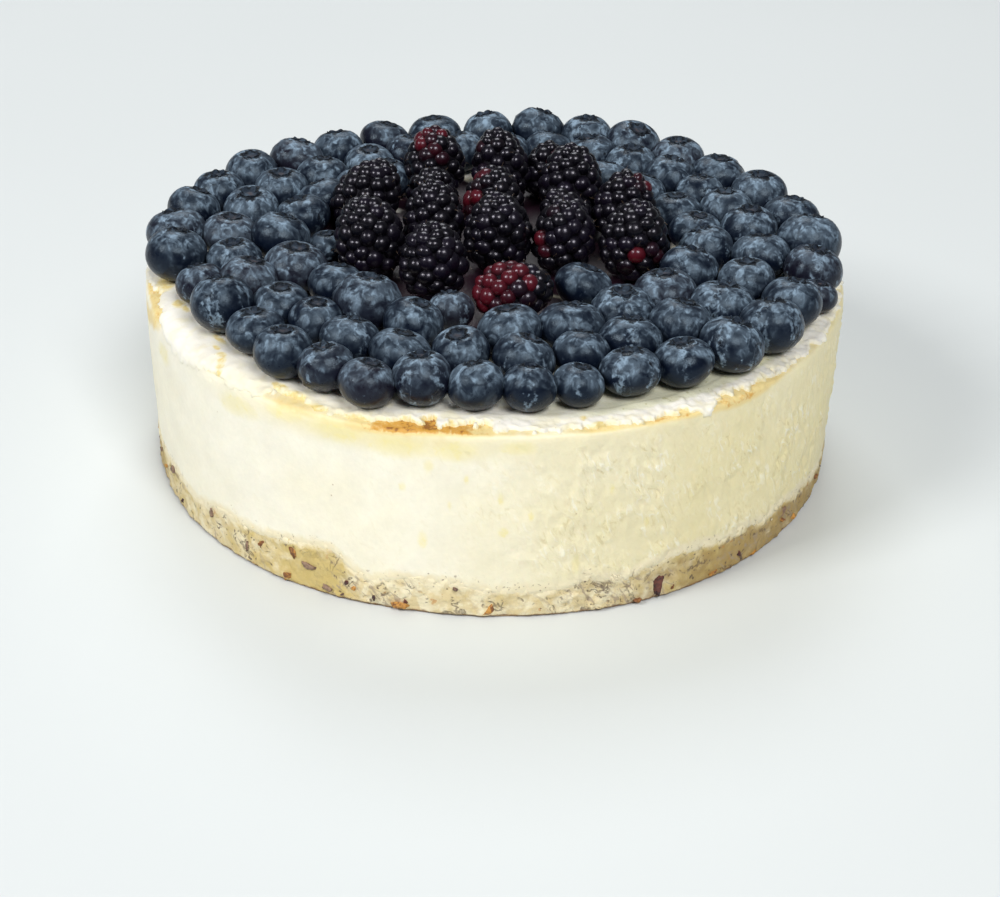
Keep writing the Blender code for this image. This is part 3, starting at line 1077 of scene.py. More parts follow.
# How gritty the crust is, and how far it is olive or brown, from 0 to 1.
GRITTY: Stations = ((-180, 0.3), (-152, 0.8), (-146, 0.2), (-141, 0.8), (-136, 0.3), (-131, 0.8),
                    (-124, 0.2), (-119, 0.4), (-116, 0.9), (-108, 0.8), (-103, 0.6), (-98, 0.3),
                    (-92, 0.4), (-84, 0.35), (-76, 0.9), (-68, 0.9), (-62, 0.7), (-56, 0.3), (-46, 0.8),
                    (-30, 0.7), (0, 0.4), (40, 0.8), (80, 0.3), (120, 0.7), (150, 0.4))
OLIVE: Stations = ((-180, 0.3), (-160, 0.7), (-148, 0.5), (-138, 0.3), (-131, 0.5), (-125, 0.65),
                   (-119, 0.92), (-115, 0.92), (-110, 0.3), (-103, 0.1), (-95, 0.15), (-88, 0.35),
                   (-78, 0.1), (-72, 0.0), (-66, 0.35), (-60, 0.6), (-50, 0.75), (-40, 0.6),
                   (-25, 0.6), (0, 0.5),
                   (30, 0.2), (70, 0.6), (90, 0.2), (130, 0.6), (155, 0.2))
BROWN: Stations = ((-180, 0.3), (-168, 0.75), (-158, 0.4), (-150, 0.1), (-145, 0.0), (-95, 0.0),
                   (-76, 0.3), (-70, 0.35), (-60, 0.6), (-48, 0.85), (-35, 0.9), (-20, 0.8),
                   (0, 0.4), (30, 0.2), (90, 0.0), (140, 0.3))

# How rough the side was left when the tin came off, from 0 to 1.
DRAGGED: Stations = ((-180, 0.1), (-120, 0.08), (-98, 0.2), (-86, 0.5), (-76, 1.0), (-30, 1.0),
                     (10, 0.8), (45, 0.4), (70, 0.15), (110, 0.35), (135, 0.7), (160, 0.3))

# How strongly the cream was combed outwards along the rim, from 0 to 1.
COMBED: Stations = ((-180, 0.2), (-150, 0.3), (-125, 0.5), (-105, 0.8), (-95, 0.6), (-80, 0.5),
                    (-68, 0.8), (-55, 1.0), (-30, 1.0), (-18, 0.6), (0, 0.4), (30, 0.8), (60, 0.5),
                    (90, 0.9), (120, 0.4), (150, 0.8))


def dabbed(dabs: Dabs, heading: Array, reach: Array) -> Array:
    """Say how far the skin lies inside any of several dabs.

    Args:
        dabs: The dabs.
        heading: Headings in degrees.
        reach: Distances from the rim.

    Returns:
        1 in the middle of a dab, falling to 0 a little outside it.
    """
    total = np.zeros(len(heading))
    for middle, low, wide, tall in dabs:
        aside = np.radians((heading - middle + 180.0) % 360.0 - 180.0) * FORM.radius
        total = np.maximum(total, smooth(np.hypot(aside / wide, (reach - low) / tall), 1.5, 0.2))
    return total


def paleness(heading: Array, reach: Array) -> Array:
    """Say how pale the filling's skin is.

    Args:
        heading: Headings in degrees.
        reach: Distances from the rim.

    Returns:
        0 for yellow to 1 for pale.
    """
    yellow = 0.85 * smooth(reach, 11.0, 3.0) * hill(heading, -111.0, 36.0)
    # The stations whiten the lit left and yellow the shaded right: partly a real smear, partly painted light and
    # shade.
    return around(SMEAR_AND_LIGHT, heading) + 0.10 * smooth(reach, 30.0, 0.0) - yellow


def wound(places: Array, turn: float, stretch: float) -> Array:
    """Wind places about the axis as they drop, for patterns that run down the side aslant.

    Args:
        places: Places in millimetres.
        turn: Radians of turn for each millimetre of height.
        stretch: How many times longer than wide the pattern becomes.

    Returns:
        The places to read noise at.
    """
    angle = np.arctan2(places[:, 1], places[:, 0]) + turn * places[:, 2]
    radius = np.hypot(places[:, 0], places[:, 1])
    return np.column_stack([radius * np.cos(angle), radius * np.sin(angle), places[:, 2] / stretch])


@dataclass
class Filling:
    """The baked filling, with its browned rim, its pits and the marks that the tin left."""

    columns: int = 1080
    hidden: tuple[float, ...] = (-40.0, -24.0, -16.0)
    noise: Noise = field(default_factory=lambda: Noise(11))

    def reaches(self) -> Array:
        """List the reach of every row, from under the cream down into the crust."""
        rim = np.arange(-12.0, 6.0, 0.5)
        side = np.arange(6.0, 56.1, 1.15)
        return np.concatenate([self.hidden, rim, side])

    def browning(self, heading: Array, reach: Array) -> Array:
        """Say how brown the skin is.

        Args:
            heading: Headings in degrees.
            reach: Distances from the rim.

        Returns:
            0 for pale to 1 for caramel, and more where it is burnt.
        """
        brown = around(BROWNED, heading)
        lower = 1.5 + 2.5 * hill(heading, -112.0, 16.0) + 2.6 * hill(heading, -50.0, 16.0)
        window = smooth(reach, -12.0, -7.0) * smooth(reach, lower, lower - 3.0)
        tail = 0.22 * smooth(reach, 9.0, 1.0) * smooth(reach, -2.0, 2.0)
        left = (heading + 360.0) % 360.0
        streak = smooth(np.abs(reach - 0.55 * (205.0 - left)), 5.5, 0.5)
        streak = streak * smooth(left, 168.0, 178.0) * smooth(left, 206.0, 200.0)
        return brown * (window + tail) + 0.5 * streak

    def build(self) -> bpy.types.Object:
        """Model the filling and dress it."""
        reaches = self.reaches()
        wall = Wall("filling_baked", self.columns, len(reaches) - 1)
        reach = reaches[wall.row]
        places, outward = FORM.skin(wall.angle, reach)
        rough = around(DRAGGED, wall.heading) * smooth(reach, 0.5, 7.0)
        brown = self.browning(wall.heading, reach)
        edge = FORM.crust_edge(wall.angle)
        above = places[:, 2] - edge

        relief = 0.40 * self.noise.at(places, 28.0) + 0.16 * self.noise.at(places, 9.0)
        drawn = wound(places, 0.004, 1.8)
        flake = self.noise.at(drawn, 2.3) + 0.5 * self.noise.at(drawn + 50.0, 1.4)
        patches = smooth(self.noise.at(places + 20.0, 12.0), -0.45, 0.35)
        torn = rough * (0.35 + 0.65 * patches)
        relief += torn * (0.46 * smooth(flake, 0.15, 0.6) - 0.46 * smooth(flake, -0.2, -0.65))
        relief += (0.03 + 0.07 * rough) * self.noise.at(places, 1.5)
        nearest, _, chance = self.noise.cells(places, 5.2)
        pit = smooth(nearest, 0.16, 0.04) * (chance < 0.22)
        relief -= 0.45 * pit * smooth(reach, -1.0, 3.0)
        rugged = np.clip(brown, 0.0, 1.0) * smooth(reach, 3.0, 0.0)
        relief += rugged * (0.45 * self.noise.layers(places + 9.0, 2.6) - 0.1)
        crumbs = smooth(above, 5.0, -0.5)
        relief += 0.25 * crumbs * self.noise.layers(places, 2.0)
        relief -= 0.9 * smooth(above, -0.6, -3.0)
        wall.lay(places + outward * relief[:, None])

        carry(wall.piece, "bake", brown)
        carry(wall.piece, "pale", paleness(wall.heading, reach))
        carry(wall.piece, "drag", torn)
        carry(wall.piece, "stain", dabbed(STAINS, wall.heading, reach) + 0.5 * pit * rough)
        carry(wall.piece, "crumbs", crumbs)
        return dress(wall.piece, FillingFinish().material(), "baked_filling", "filling")

@dataclass
class Cream:
    """The cream: flat under the berries, combed at the rim, and ragged where it hangs over."""

    columns: int = 960
    noise: Noise = field(default_factory=lambda: Noise(23))

    def reaches(self) -> Array:
        """List the reach of every row, from the middle of the top to below the last drip."""
        top = np.array([-113.5, -106.0, -98.0, -91.0, -84.0, -78.0, -72.0, -67.0, -62.0, -57.0, -52.0, -46.0,
                        -41.0, -36.0, -32.0,
                        -28.0, -25.0, -22.0, -20.0, -18.0, -16.5, -15.0])
        rim = np.arange(-14.0, 8.0, 0.5)
        side = np.arange(8.0, 18.1, 1.25)
        return np.concatenate([top, rim, side])

    def thickness(self, reach: Array) -> Array:
        """Give the usual thickness at each reach, over the filling's skin."""
        stations = (-15.0, -11.0, -7.0, -3.0, 0.0, 4.0, 12.0, 20.0)
        sizes = (FORM.height - FORM.bed, 2.7, 1.55, 0.85, 0.60, 0.35, 0.22, 0.12)
        return np.interp(reach, stations, sizes)

    def build(self, heap: list["Spot"]) -> bpy.types.Object:
        """Model the cream and dress it.

        Args:
            heap: Where the dark berries lie; the cream under them is painted near-black as their shade.

        Returns:
            The cream.
        """
        reaches = self.reaches()
        wall = Wall("cream_spread", self.columns, len(reaches) - 1)
        reach = reaches[wall.row]
        places, outward = FORM.skin(wall.angle, reach)
        combed = around(COMBED, wall.heading)
        soft = hill(wall.heading, -150.0, 34.0)
        lip = smooth(reach, -9.0, -5.5)
        edge = around(CREAM_REACH, wall.heading)
        flat = np.column_stack([places[:, :2], 0.0 * reach])
        radial = np.column_stack([FORM.radius * np.cos(wall.angle), FORM.radius * np.sin(wall.angle),
                                  0.18 * reach])
        ragged = 1.5 * self.noise.at(flat, 5.0) + 1.0 * self.noise.at(flat + 40.0, 2.2)
        ragged += (0.5 + 0.9 * combed) * self.noise.at(radial + 80.0, 1.2)
        islands = 1.8 * self.noise.at(places, 3.2) + 0.9 * self.noise.at(places + 60.0, 1.6)
        inside = edge + ragged + islands - reach
        cover = smooth(inside, -0.5 - 1.5 * soft, 0.5 + 1.5 * soft)

        comb = np.abs(self.noise.at(radial, 1.6)) + 0.6 * np.abs(self.noise.at(radial + 30.0, 0.8)) - 0.35
        relief = self.thickness(reach)
        relief += lip * combed * (0.60 * comb + 0.25 * self.noise.at(places, 1.2))
        relief += lip * (0.48 - 0.18 * soft) * self.noise.layers(places, 3.6)
        relief += 0.22 * self.noise.at(places, 14.0) * smooth(reach, 0.0, -8.0)
        fold = smooth(reach + 9.5 + 1.2 * self.noise.at(flat, 9.0), -0.9, 0.3)
        relief += 0.35 * (fold - 1.0) * combed * smooth(reach, -16.0, -10.5)
        bead = smooth(np.abs(inside - 1.0), 1.4, 0.0)
        relief += 0.25 * bead * (1.0 - soft) * smooth(reach, 4.0, 0.0)
        relief = relief * cover * (1.0 - 0.55 * soft * smooth(inside, 4.0, 0.5)) - 0.9 * (1.0 - cover)
        wall.lay(places + outward * relief[:, None])

        thin = smooth(reach, 1.0, 9.0) + (0.25 + 0.75 * soft) * smooth(inside, 3.0, 0.2)
        thin += 0.70 * hill(wall.heading, -128.0, 38.0) * smooth(reach, -11.0, -2.0)
        # Painted shade on the flat top towards the berries, strongest on the right front; the mark also makes the
        # cream smoother there.
        slick_and_shaded = smooth(reach, -4.5, -8.0) * (0.25 + 0.75 * hill(wall.heading, -48.0, 50.0))
        stain = smooth(inside, 1.0, -0.2) * around(BROWNED, wall.heading) * (1.0 - soft)
        # Painted shade: at two headings on the right the top by the berries gets a straw tint in the stain mark,
        # standing in for their yellow-green shade; the rest of the stain is browning and golden patches.
        olive = hill(wall.heading, -40.0, 5.0) + hill(wall.heading, -26.0, 7.0)
        stain += 0.5 * olive * smooth(reach, -6.5, -9.0) + dabbed(GOLDEN, wall.heading, reach)
        # Painted shade: near-black on the cream wherever a dark berry lies, standing in for the shadow in the heap's
        # gaps.
        heap_shade = np.zeros(len(reach))
        for spot in heap:
            aside = np.hypot(places[:, 0] - spot.x, places[:, 1] - spot.y)
            heap_shade = np.maximum(heap_shade, smooth(aside, 1.0 * spot.width, 0.72 * spot.width))
        carry(wall.piece, "heap_shade", heap_shade)
        carry(wall.piece, "thin", thin)
        carry(wall.piece, "pale", paleness(wall.heading, reach))
        carry(wall.piece, "slick_and_shaded", slick_and_shaded)
        carry(wall.piece, "stain", stain)
        return dress(wall.piece, CreamFinish().material(), "white_cream", "cream_topping")


@dataclass
class Crust:
    """The pressed crust, whose upper edge fades raggedly into the filling."""

    columns: int = 1000
    overlap: float = 3.0          # how far it runs up behind the ragged edge
    noise: Noise = field(default_factory=lambda: Noise(37))

    def build(self) -> bpy.types.Object:
        """Model the crust and dress it."""
        inner = np.array([30.0, 12.0, 3.0])
        side = 24
        under = np.array([1.2, 3.0, 6.0, 10.0, 16.0, 24.0, 36.0, 52.0, 70.0])
        rows = len(inner) + side + 3 + len(under)
        wall = Wall("crust_pressed", self.columns, rows - 1)
        row = wall.row
        top = FORM.crust_edge(wall.angle) + self.overlap
        share = np.clip((row - len(inner)) / (side - 1), 0.0, 1.0)
        foot = row - len(inner) - side
        height = np.where(foot < 0, top + (1.3 - top) * share, 0.0)
        height = np.where(foot == 0, 0.75, np.where(foot == 1, 0.3, height))
        inward = np.zeros(len(row))
        inward = np.where(row < len(inner), inner[np.minimum(row, len(inner) - 1)], inward)
        inward = np.where(foot == 0, 0.15, np.where(foot == 1, 0.6, inward))
        beneath = np.clip(foot - 3, 0, len(under) - 1)
        inward = np.where(foot == 2, 1.0, np.where(foot > 2, under[beneath], inward))
        height = np.where(row < len(inner), top - 0.4, height)

        radius = FORM.side(wall.angle, height) - inward
        ring = np.stack([np.cos(wall.angle), np.sin(wall.angle)], axis=1)
        places = np.column_stack([ring * radius[:, None], height])
        above = height - FORM.crust_edge(wall.angle)
        outside = (row >= len(inner)) & (foot < 1)
        gritty = around(GRITTY, wall.heading)
        lumps = 0.55 * self.noise.at(places, 5.5) + 0.30 * self.noise.layers(places, 2.8)
        nearest, _, chance = self.noise.cells(places, 3.0)
        chip = smooth(nearest, 0.42, 0.15) * (chance > 0.68)
        creased = np.abs(self.noise.at(places + 70.0, 2.6))
        crack = smooth(creased, 0.14, 0.02) * gritty
        relief = lumps * smooth(above, 1.5, -2.5) - 0.35 * crack - 0.6 * chip * gritty
        relief += 0.35 * smooth(above, -2.5, 0.0) * self.noise.layers(places + 30.0, 2.2)
        relief -= 0.9 * smooth(above, 0.0, 2.4)
        relief = np.where(outside, relief, 0.0)
        places[:, :2] += ring * relief[:, None]
        places[:, 2] += 0.35 * np.abs(self.noise.layers(places, 7.0)) * (foot > 2)
        places[:, 2] += 0.5 * np.abs(self.noise.layers(places, 2.6)) * ((foot >= 0) & (foot < 3))
        wall.lay(places)

        heading = wall.heading
        carry(wall.piece, "olive", around(OLIVE, heading))
        carry(wall.piece, "brown", around(BROWN, heading) * smooth(above, 1.0, -5.0))
        carry(wall.piece, "grit", gritty)
        carry(wall.piece, "upper", smooth(above, -5.0, 1.0))
        carry(wall.piece, "foot", smooth(height, 2.2, 0.2))
        return dress(wall.piece, CrustFinish().material(), "nut_crust", "crust")


class NutKind(Enum):
    """The kinds of nut bit in the crust."""

    RUST = "rust"
    DARK = "dark"
    GREY = "grey"


@dataclass(frozen=True)
class NutBatch:
    """All the bits of one kind, placed at the front and scattered elsewhere."""

    kind: NutKind
    finish: NutFinish
    scattered: int
    width: tuple[float, float]
    placed: tuple[tuple[float, float, float, float], ...]
    seed: int

    def lump(self, draw: np.random.Generator) -> Shape:
        """Model one broken bit.

        Args:
            draw: The source of its shape.

        Returns:
            A bit about one unit across.
        """
        bpy.ops.object.select_all(action="DESELECT")
        bpy.ops.mesh.primitive_ico_sphere_add(subdivisions=3, radius=0.5)
        model = bpy.context.object
        edit(model, "FACE")
        bpy.ops.mesh.select_all(action="SELECT")
        bpy.ops.mesh.bisect(plane_co=(0.0, 0.0, draw.uniform(-0.2, 0.1)),
                            plane_no=tuple(draw.normal(size=3)), use_fill=True, clear_outer=True)
        bpy.ops.object.mode_set(mode="OBJECT")
        shape = Shape.taken_from(model)
        noise = Noise(int(draw.integers(1000)))
        shape.places = shape.places * (1.0 + 0.45 * noise.layers(shape.places, 0.5)[:, None])
        return shape

    def build(self) -> bpy.types.Object:
        """Model the batch as one piece and dress it."""
        draw = np.random.default_rng(self.seed)
        lumps = [self.lump(draw) for _ in range(5)]
        spots = list(self.placed)
        for _ in range(self.scattered):
            heading = draw.uniform(-35.0, 215.0)
            rise = draw.uniform(0.08, 0.85)
            width = draw.uniform(*self.width)
            spots.append((heading, rise * float(FORM.crust_edge(np.radians([heading]))[0]), width,
                          width * draw.uniform(0.6, 1.5)))
        shapes = []
        for number, (heading, height, width, tall) in enumerate(spots):
            lump = lumps[number % len(lumps)]
            places = lump.places @ turn_of(draw.uniform(0, 180), draw.uniform(0, 360), 0.0).T
            places = places / np.ptp(places, axis=0) * [2.2, width, tall]
            angle = math.radians(heading)
            sunk = 0.25 if number < len(self.placed) else 0.55
            radius = float(FORM.side(np.array([angle]), np.array([height]))[0]) - sunk
            spin = np.array(Matrix.Rotation(angle, 3, "Z"))
            lift = max(height, 0.1 - places[:, 2].min())
            middle = (radius * math.cos(angle), radius * math.sin(angle), lift)
            shapes.append(lump.copied((places @ spin.T + middle) * MM, shade=draw.random()))
        piece = gathered(f"nut_bits_{self.kind.value}", shapes)
        return dress(piece, self.finish.material(), "nut_crust")


# ---------------------------------------------------------------------------------------------
# Berries
# ---------------------------------------------------------------------------------------------


class Ring(Enum):
    """The rings of blueberries."""

    OUTER = "outer"
    MIDDLE = "middle"
    INNER = "inner"


# Each ring berry by berry from the left round the front: heading, distance from the axis, width.
RING_BERRIES: dict[Ring, tuple[tuple[float, float, float], ...]] = {
    Ring.OUTER: (
        (-171, 104, 18.5), (-159, 98, 14.5), (-147, 99, 18.5), (-137, 98, 16.5), (-126, 103, 16.5),
        (-118, 103, 15.5), (-110, 105, 16.0), (-102, 100, 16.5), (-93, 100, 15.5), (-84, 100, 15.0),
        (-76, 100, 14.5), (-66, 98, 17.0), (-56, 100, 17.0), (-46, 102, 18.5), (-36, 102, 18.5),
        (-25, 102, 17.5), (-17, 107, 11.5), (-10, 104, 17.5), (-1, 103, 20.0), (13, 103, 18.5),
        (25, 101, 18.5), (37, 98, 18.0), (48, 96, 18.5), (60, 100, 18.5), (70, 97, 17.5),
        (81, 98, 18.5), (92, 94, 17.5), (104, 96, 18.5), (115, 95, 17.5), (127, 93, 17.5),
        (138, 96, 18.5), (150, 98, 18.0), (160, 102, 17.0), (169, 104, 17.0), (-179, 104, 18.5)),
    Ring.MIDDLE: (
        (-168, 86, 17.0), (-156, 83, 17.0), (-141, 83, 17.0), (-131, 81, 16.0), (-120, 85, 17.0),
        (-109, 86, 17.5), (-97, 80, 16.5), (-84, 85, 17.5), (-72, 83, 16.0), (-60, 82, 18.5),
        (-48, 84, 18.0), (-35, 86, 19.5), (-20, 85, 17.0), (-6, 87, 18.5), (7, 85, 18.0),
        (20, 83, 17.0), (30, 82, 16.0), (42, 81, 17.5), (55, 82, 17.5), (67, 85, 17.0),
        (77, 83, 17.0), (88, 80, 17.0), (99, 80, 17.0), (114, 83, 17.0), (125, 79, 17.0),
        (141, 77, 17.5), (152, 83, 17.5), (167, 85, 17.5), (-180, 87, 17.5)),
    Ring.INNER: (
        (-156, 70, 19.5), (-146, 62, 17.0), (-125, 67, 20.0), (-112, 68, 17.0), (-85, 68, 18.5),
        (-71, 69, 19.5), (-52, 66, 18.5), (-39, 68, 19.0), (-20, 66, 17.5), (-4, 69, 17.0),
        (9, 68, 17.0), (23, 67, 17.0), (42, 70, 16.0), (54, 68, 16.5), (128, 68, 16.0),
        (140, 66, 16.0), (151, 68, 17.5), (165, 67, 18.0), (-178, 71, 18.5)),
}


@dataclass(frozen=True)
class Spot:
    """Where one berry lies: its middle seen from above and its width, in millimetres."""

    x: float
    y: float
    width: float


@dataclass
class Blueberries:
    """All the blueberries: three rings and three loose ones."""

    segments: int = 30
    bands: int = 20
    cap: float = 21.0             # degrees from the crown's middle to its edge
    press: float = 0.4            # how deep a berry is pressed into the cream
    loose: int = 3
    dry: int = 5                  # the shrivelled berry's place in the outer ring
    brown: int = 16               # the small unripe one's place in the outer ring
    plump: float = 1.09           # how much wider the berries are than their places in a ring
    noise: Noise = field(default_factory=lambda: Noise(53))
    draw: np.random.Generator = field(default_factory=lambda: np.random.default_rng(71))

    def model(self) -> Shape:
        """Model one round berry of radius 1 with the open collar of its crown on top."""
        bpy.ops.object.select_all(action="DESELECT")
        bpy.ops.mesh.primitive_uv_sphere_add(segments=self.segments, ring_count=self.bands, radius=1.0)
        model = bpy.context.object
        edit(model, "FACE")
        middles = np.empty(len(model.data.polygons) * 3)
        model.data.polygons.foreach_get("center", middles)
        choose(model.data.polygons, middles.reshape(-1, 3)[:, 2] > math.cos(math.radians(self.cap)))
        for lift, widening in ((0.012, 0.97), (0.026, 1.02)):
            bpy.ops.mesh.extrude_region_move(TRANSFORM_OT_translate={"value": (0.0, 0.0, lift)})
            bpy.ops.transform.resize(value=(widening, widening, 0.8))
        bpy.ops.mesh.inset(thickness=0.030)
        for drop, widening in ((-0.055, 0.90), (-0.020, 0.70)):
            bpy.ops.mesh.extrude_region_move(TRANSFORM_OT_translate={"value": (0.0, 0.0, drop)})
            bpy.ops.transform.resize(value=(widening, widening, 0.5))
        bpy.ops.object.mode_set(mode="OBJECT")
        return Shape.taken_from(model)

    def berry(self, model: Shape, spot: Spot, wrinkles: float, dust: float, tint: float) -> Shape:
        """Copy the model to one spot, with its own dents, crown, lean and bloom.

        Args:
            model: The round berry.
            spot: Where it lies.
            wrinkles: How shrivelled it is, from 0 to 1.
            dust: How much bloom it has, from 0 to 1.
            tint: Its own colour, from 0 for navy to 1 for plum.

        Returns:
            The berry in metres.
        """
        draw = self.draw
        own = model.places + draw.uniform(-50.0, 50.0, 3)
        across = np.hypot(model.places[:, 0], model.places[:, 1])
        angle = np.arctan2(model.places[:, 1], model.places[:, 0])
        top = model.places[:, 2] > 0.0
        shoulder = math.cos(math.radians(self.cap + 2.0))
        collar = smooth(model.places[:, 2], shoulder + 0.010, shoulder + 0.04) * (across > 0.2)
        lobes = np.abs(np.cos(2.5 * angle + draw.uniform(0.0, 3.0))) ** 0.8
        lobes = lobes * draw.uniform(0.6, 1.2) + 0.35 * self.noise.at(own, 0.25)
        dents = 0.030 * self.noise.at(own, 0.9) + wrinkles * 0.07 * self.noise.layers(own, 0.32)
        places = model.places * (1.0 + dents[:, None])
        places[:, 2] += collar * (0.080 * lobes - 0.035)
        flare = 1.0 + collar * (0.12 * lobes * draw.uniform(-0.8, 0.9))
        places[:, :2] *= flare[:, None]
        places[:, 0] *= draw.uniform(0.97, 1.03)
        sink = 0.10 * smooth(across, 0.60, 0.15) * top
        places[:, 2] = places[:, 2] * draw.uniform(0.76, 0.90) - sink
        lean = draw.uniform(20.0, 160.0) if draw.random() < 0.7 else draw.uniform(0.0, 360.0)
        places = places @ turn_of(draw.uniform(0.0, 26.0), lean, draw.uniform(0.0, 360.0)).T
        places *= 0.5 * spot.width
        rise = FORM.height - self.press - places[:, 2].min()
        places = places + [spot.x, spot.y, rise]
        crown = np.where(top, across / math.sin(math.radians(self.cap)), 9.0)
        # Painted light: the material uses this to lighten each berry's top with bloom and darken its underside.
        upper = smooth(model.places[:, 2], -0.45, 0.75)
        return model.copied(places * MM, crown=crown, lobe=lobes, dust=dust, shade=tint, upper=upper)

    def build(self, heap: list[Spot]) -> None:
        """Lay out and model every blueberry.

        Args:
            heap: Where the dark berries lie, which the blueberries keep clear of.
        """
        model = self.model()
        rings = {ring: [spot_at(*berry) for berry in berries] for ring, berries in RING_BERRIES.items()}
        names = [f"blueberry_{number + 1}" for number in range(self.loose)]
        single = [spot_in_box(name) for name in names]
        laid = [spot for ring in Ring for spot in rings[ring]]
        laid = [Spot(spot.x, spot.y, spot.width * self.plump) for spot in laid + single]
        laid = settled(laid, heap)
        material = BlueberryFinish().material()
        start = 0
        for ring in Ring:
            spots = laid[start:start + len(rings[ring])]
            start += len(spots)
            shapes = [self.berry(model, spot, *self.character(ring, number))
                      for number, spot in enumerate(spots)]
            piece = gathered(f"blueberries_{ring.value}", shapes)
            dress(piece, material, "blueberry_skin", "blueberry_carpet")
        for name, spot in zip(names, laid[start:]):
            shape = self.berry(model, spot, *self.character(Ring.INNER, -1))
            dress(gathered(f"{name}_whole", [shape]), material, "blueberry_skin", name)

    def character(self, ring: Ring, number: int) -> tuple[float, float, float]:
        """Choose how shrivelled, how dusty and how plum-coloured one berry is.

        Args:
            ring: Its ring.
            number: Its place in the ring.

        Returns:
            Its wrinkles, its dust and its tint, each from 0 to 1.
        """
        dust = float(np.clip(self.draw.normal(0.5, 0.2), 0.05, 0.95))
        wrinkles = float(self.draw.random() ** 6)
        tint = float(self.draw.random())
        if ring is Ring.OUTER and number == self.dry:
            return 1.0, 0.30, 0.9
        if ring is Ring.OUTER and number == self.brown:
            return 0.1, 0.0, 1.0
        return wrinkles, dust, tint


def spot_at(heading: float, distance: float, width: float) -> Spot:
    """Turn a heading and a distance from the axis into a spot."""
    angle = math.radians(heading)
    return Spot(distance * math.cos(angle), distance * math.sin(angle), width)


def spot_in_box(node: str) -> Spot:
    """Read a berry's spot from its CAD node's box."""
    low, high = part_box(node)
    middle = (low + high) / (2.0 * MM)
    return Spot(middle.x, middle.y, (high.x - low.x) / MM)


def settled(spots: list[Spot], fixed: list[Spot], rounds: int = 60) -> list[Spot]:
    """Let berries that overlap push each other apart a little.

    Args:
        spots: The berries that may move.
        fixed: The berries that stay.
        rounds: How often each pair is looked at.

    Returns:
        The berries' new spots, in the same order.
    """
    every = spots + fixed
    middles = np.array([(spot.x, spot.y) for spot in every])
    home = middles.copy()
    widths = np.array([spot.width for spot in every])
    apart = 0.462 * (widths[:, None] + widths[None, :])
    np.fill_diagonal(apart, 0.0)
    for _ in range(rounds):
        between = middles[:, None] - middles[None, :]
        distance = np.linalg.norm(between, axis=2) + np.eye(len(every))
        short = np.clip(apart - distance, 0.0, None)
        push = (between / distance[..., None] * short[..., None] * 0.25).sum(axis=1)
        middles[:len(spots)] += push[:len(spots)]
        middles += 0.12 * (home - middles)
    moved = middles[:len(spots)]
    return [Spot(x, y, spot.width) for (x, y), spot in zip(moved, spots)]


@dataclass(frozen=True)
class DarkBerry:
    """One dark berry: its lean and heading in degrees, and where it is still red.

    The red part is round a direction seen from the berry's middle (x, y, z), and its size is
    the share of the berry that it covers.
    """

    number: int
    lean: float
    heading: float
    width: float
    length: float
    red_from: tuple[float, float, float] = (0.0, 0.0, 0.0)
    red_share: float = 0.0

    @property
    def node(self) -> str:
        """Name the CAD node that the berry stands for."""
        return f"dark_berry_{self.number:02d}"


# The heap, front to back.
HEAP: tuple[DarkBerry, ...] = (
    DarkBerry(1, 84, 8, 18.2, 25.0, (-0.8, -0.3, 0.5), 0.38),
    DarkBerry(2, 8, 250, 21.4, 25.5),
    DarkBerry(3, 10, 160, 22.4, 27.0),
    DarkBerry(4, 6, 20, 21.8, 26.5, (0.1, -0.8, -0.6), 0.05),
    DarkBerry(5, 6, 300, 19.8, 25.5, (-0.9, -0.4, 0.3), 0.06),
    DarkBerry(6, 5, 270, 21.8, 26.5),
    DarkBerry(7, 5, 100, 19.6, 26.0),
    DarkBerry(8, 10, 30, 20.4, 25.0, (0.6, -0.2, 0.7), 0.04),
    DarkBerry(9, 34, 25, 21.4, 27.0),
    DarkBerry(10, 8, 60, 19.8, 24.5, (-0.9, -0.1, 0.4), 0.22),
    DarkBerry(11, 25, 200, 17.4, 20.0),
    DarkBerry(12, 20, 300, 17.2, 20.0),
    DarkBerry(13, 6, 90, 21.8, 27.5),
    DarkBerry(14, 6, 110, 20.8, 25.0, (-0.2, -0.4, 0.9), 0.16),
    DarkBerry(15, 12, 150, 19.6, 26.5, (-0.8, -0.6, 0.1), 0.05),
    DarkBerry(16, 20, 40, 15.2, 20.0, (0.3, -0.9, 0.2), 0.10),
)


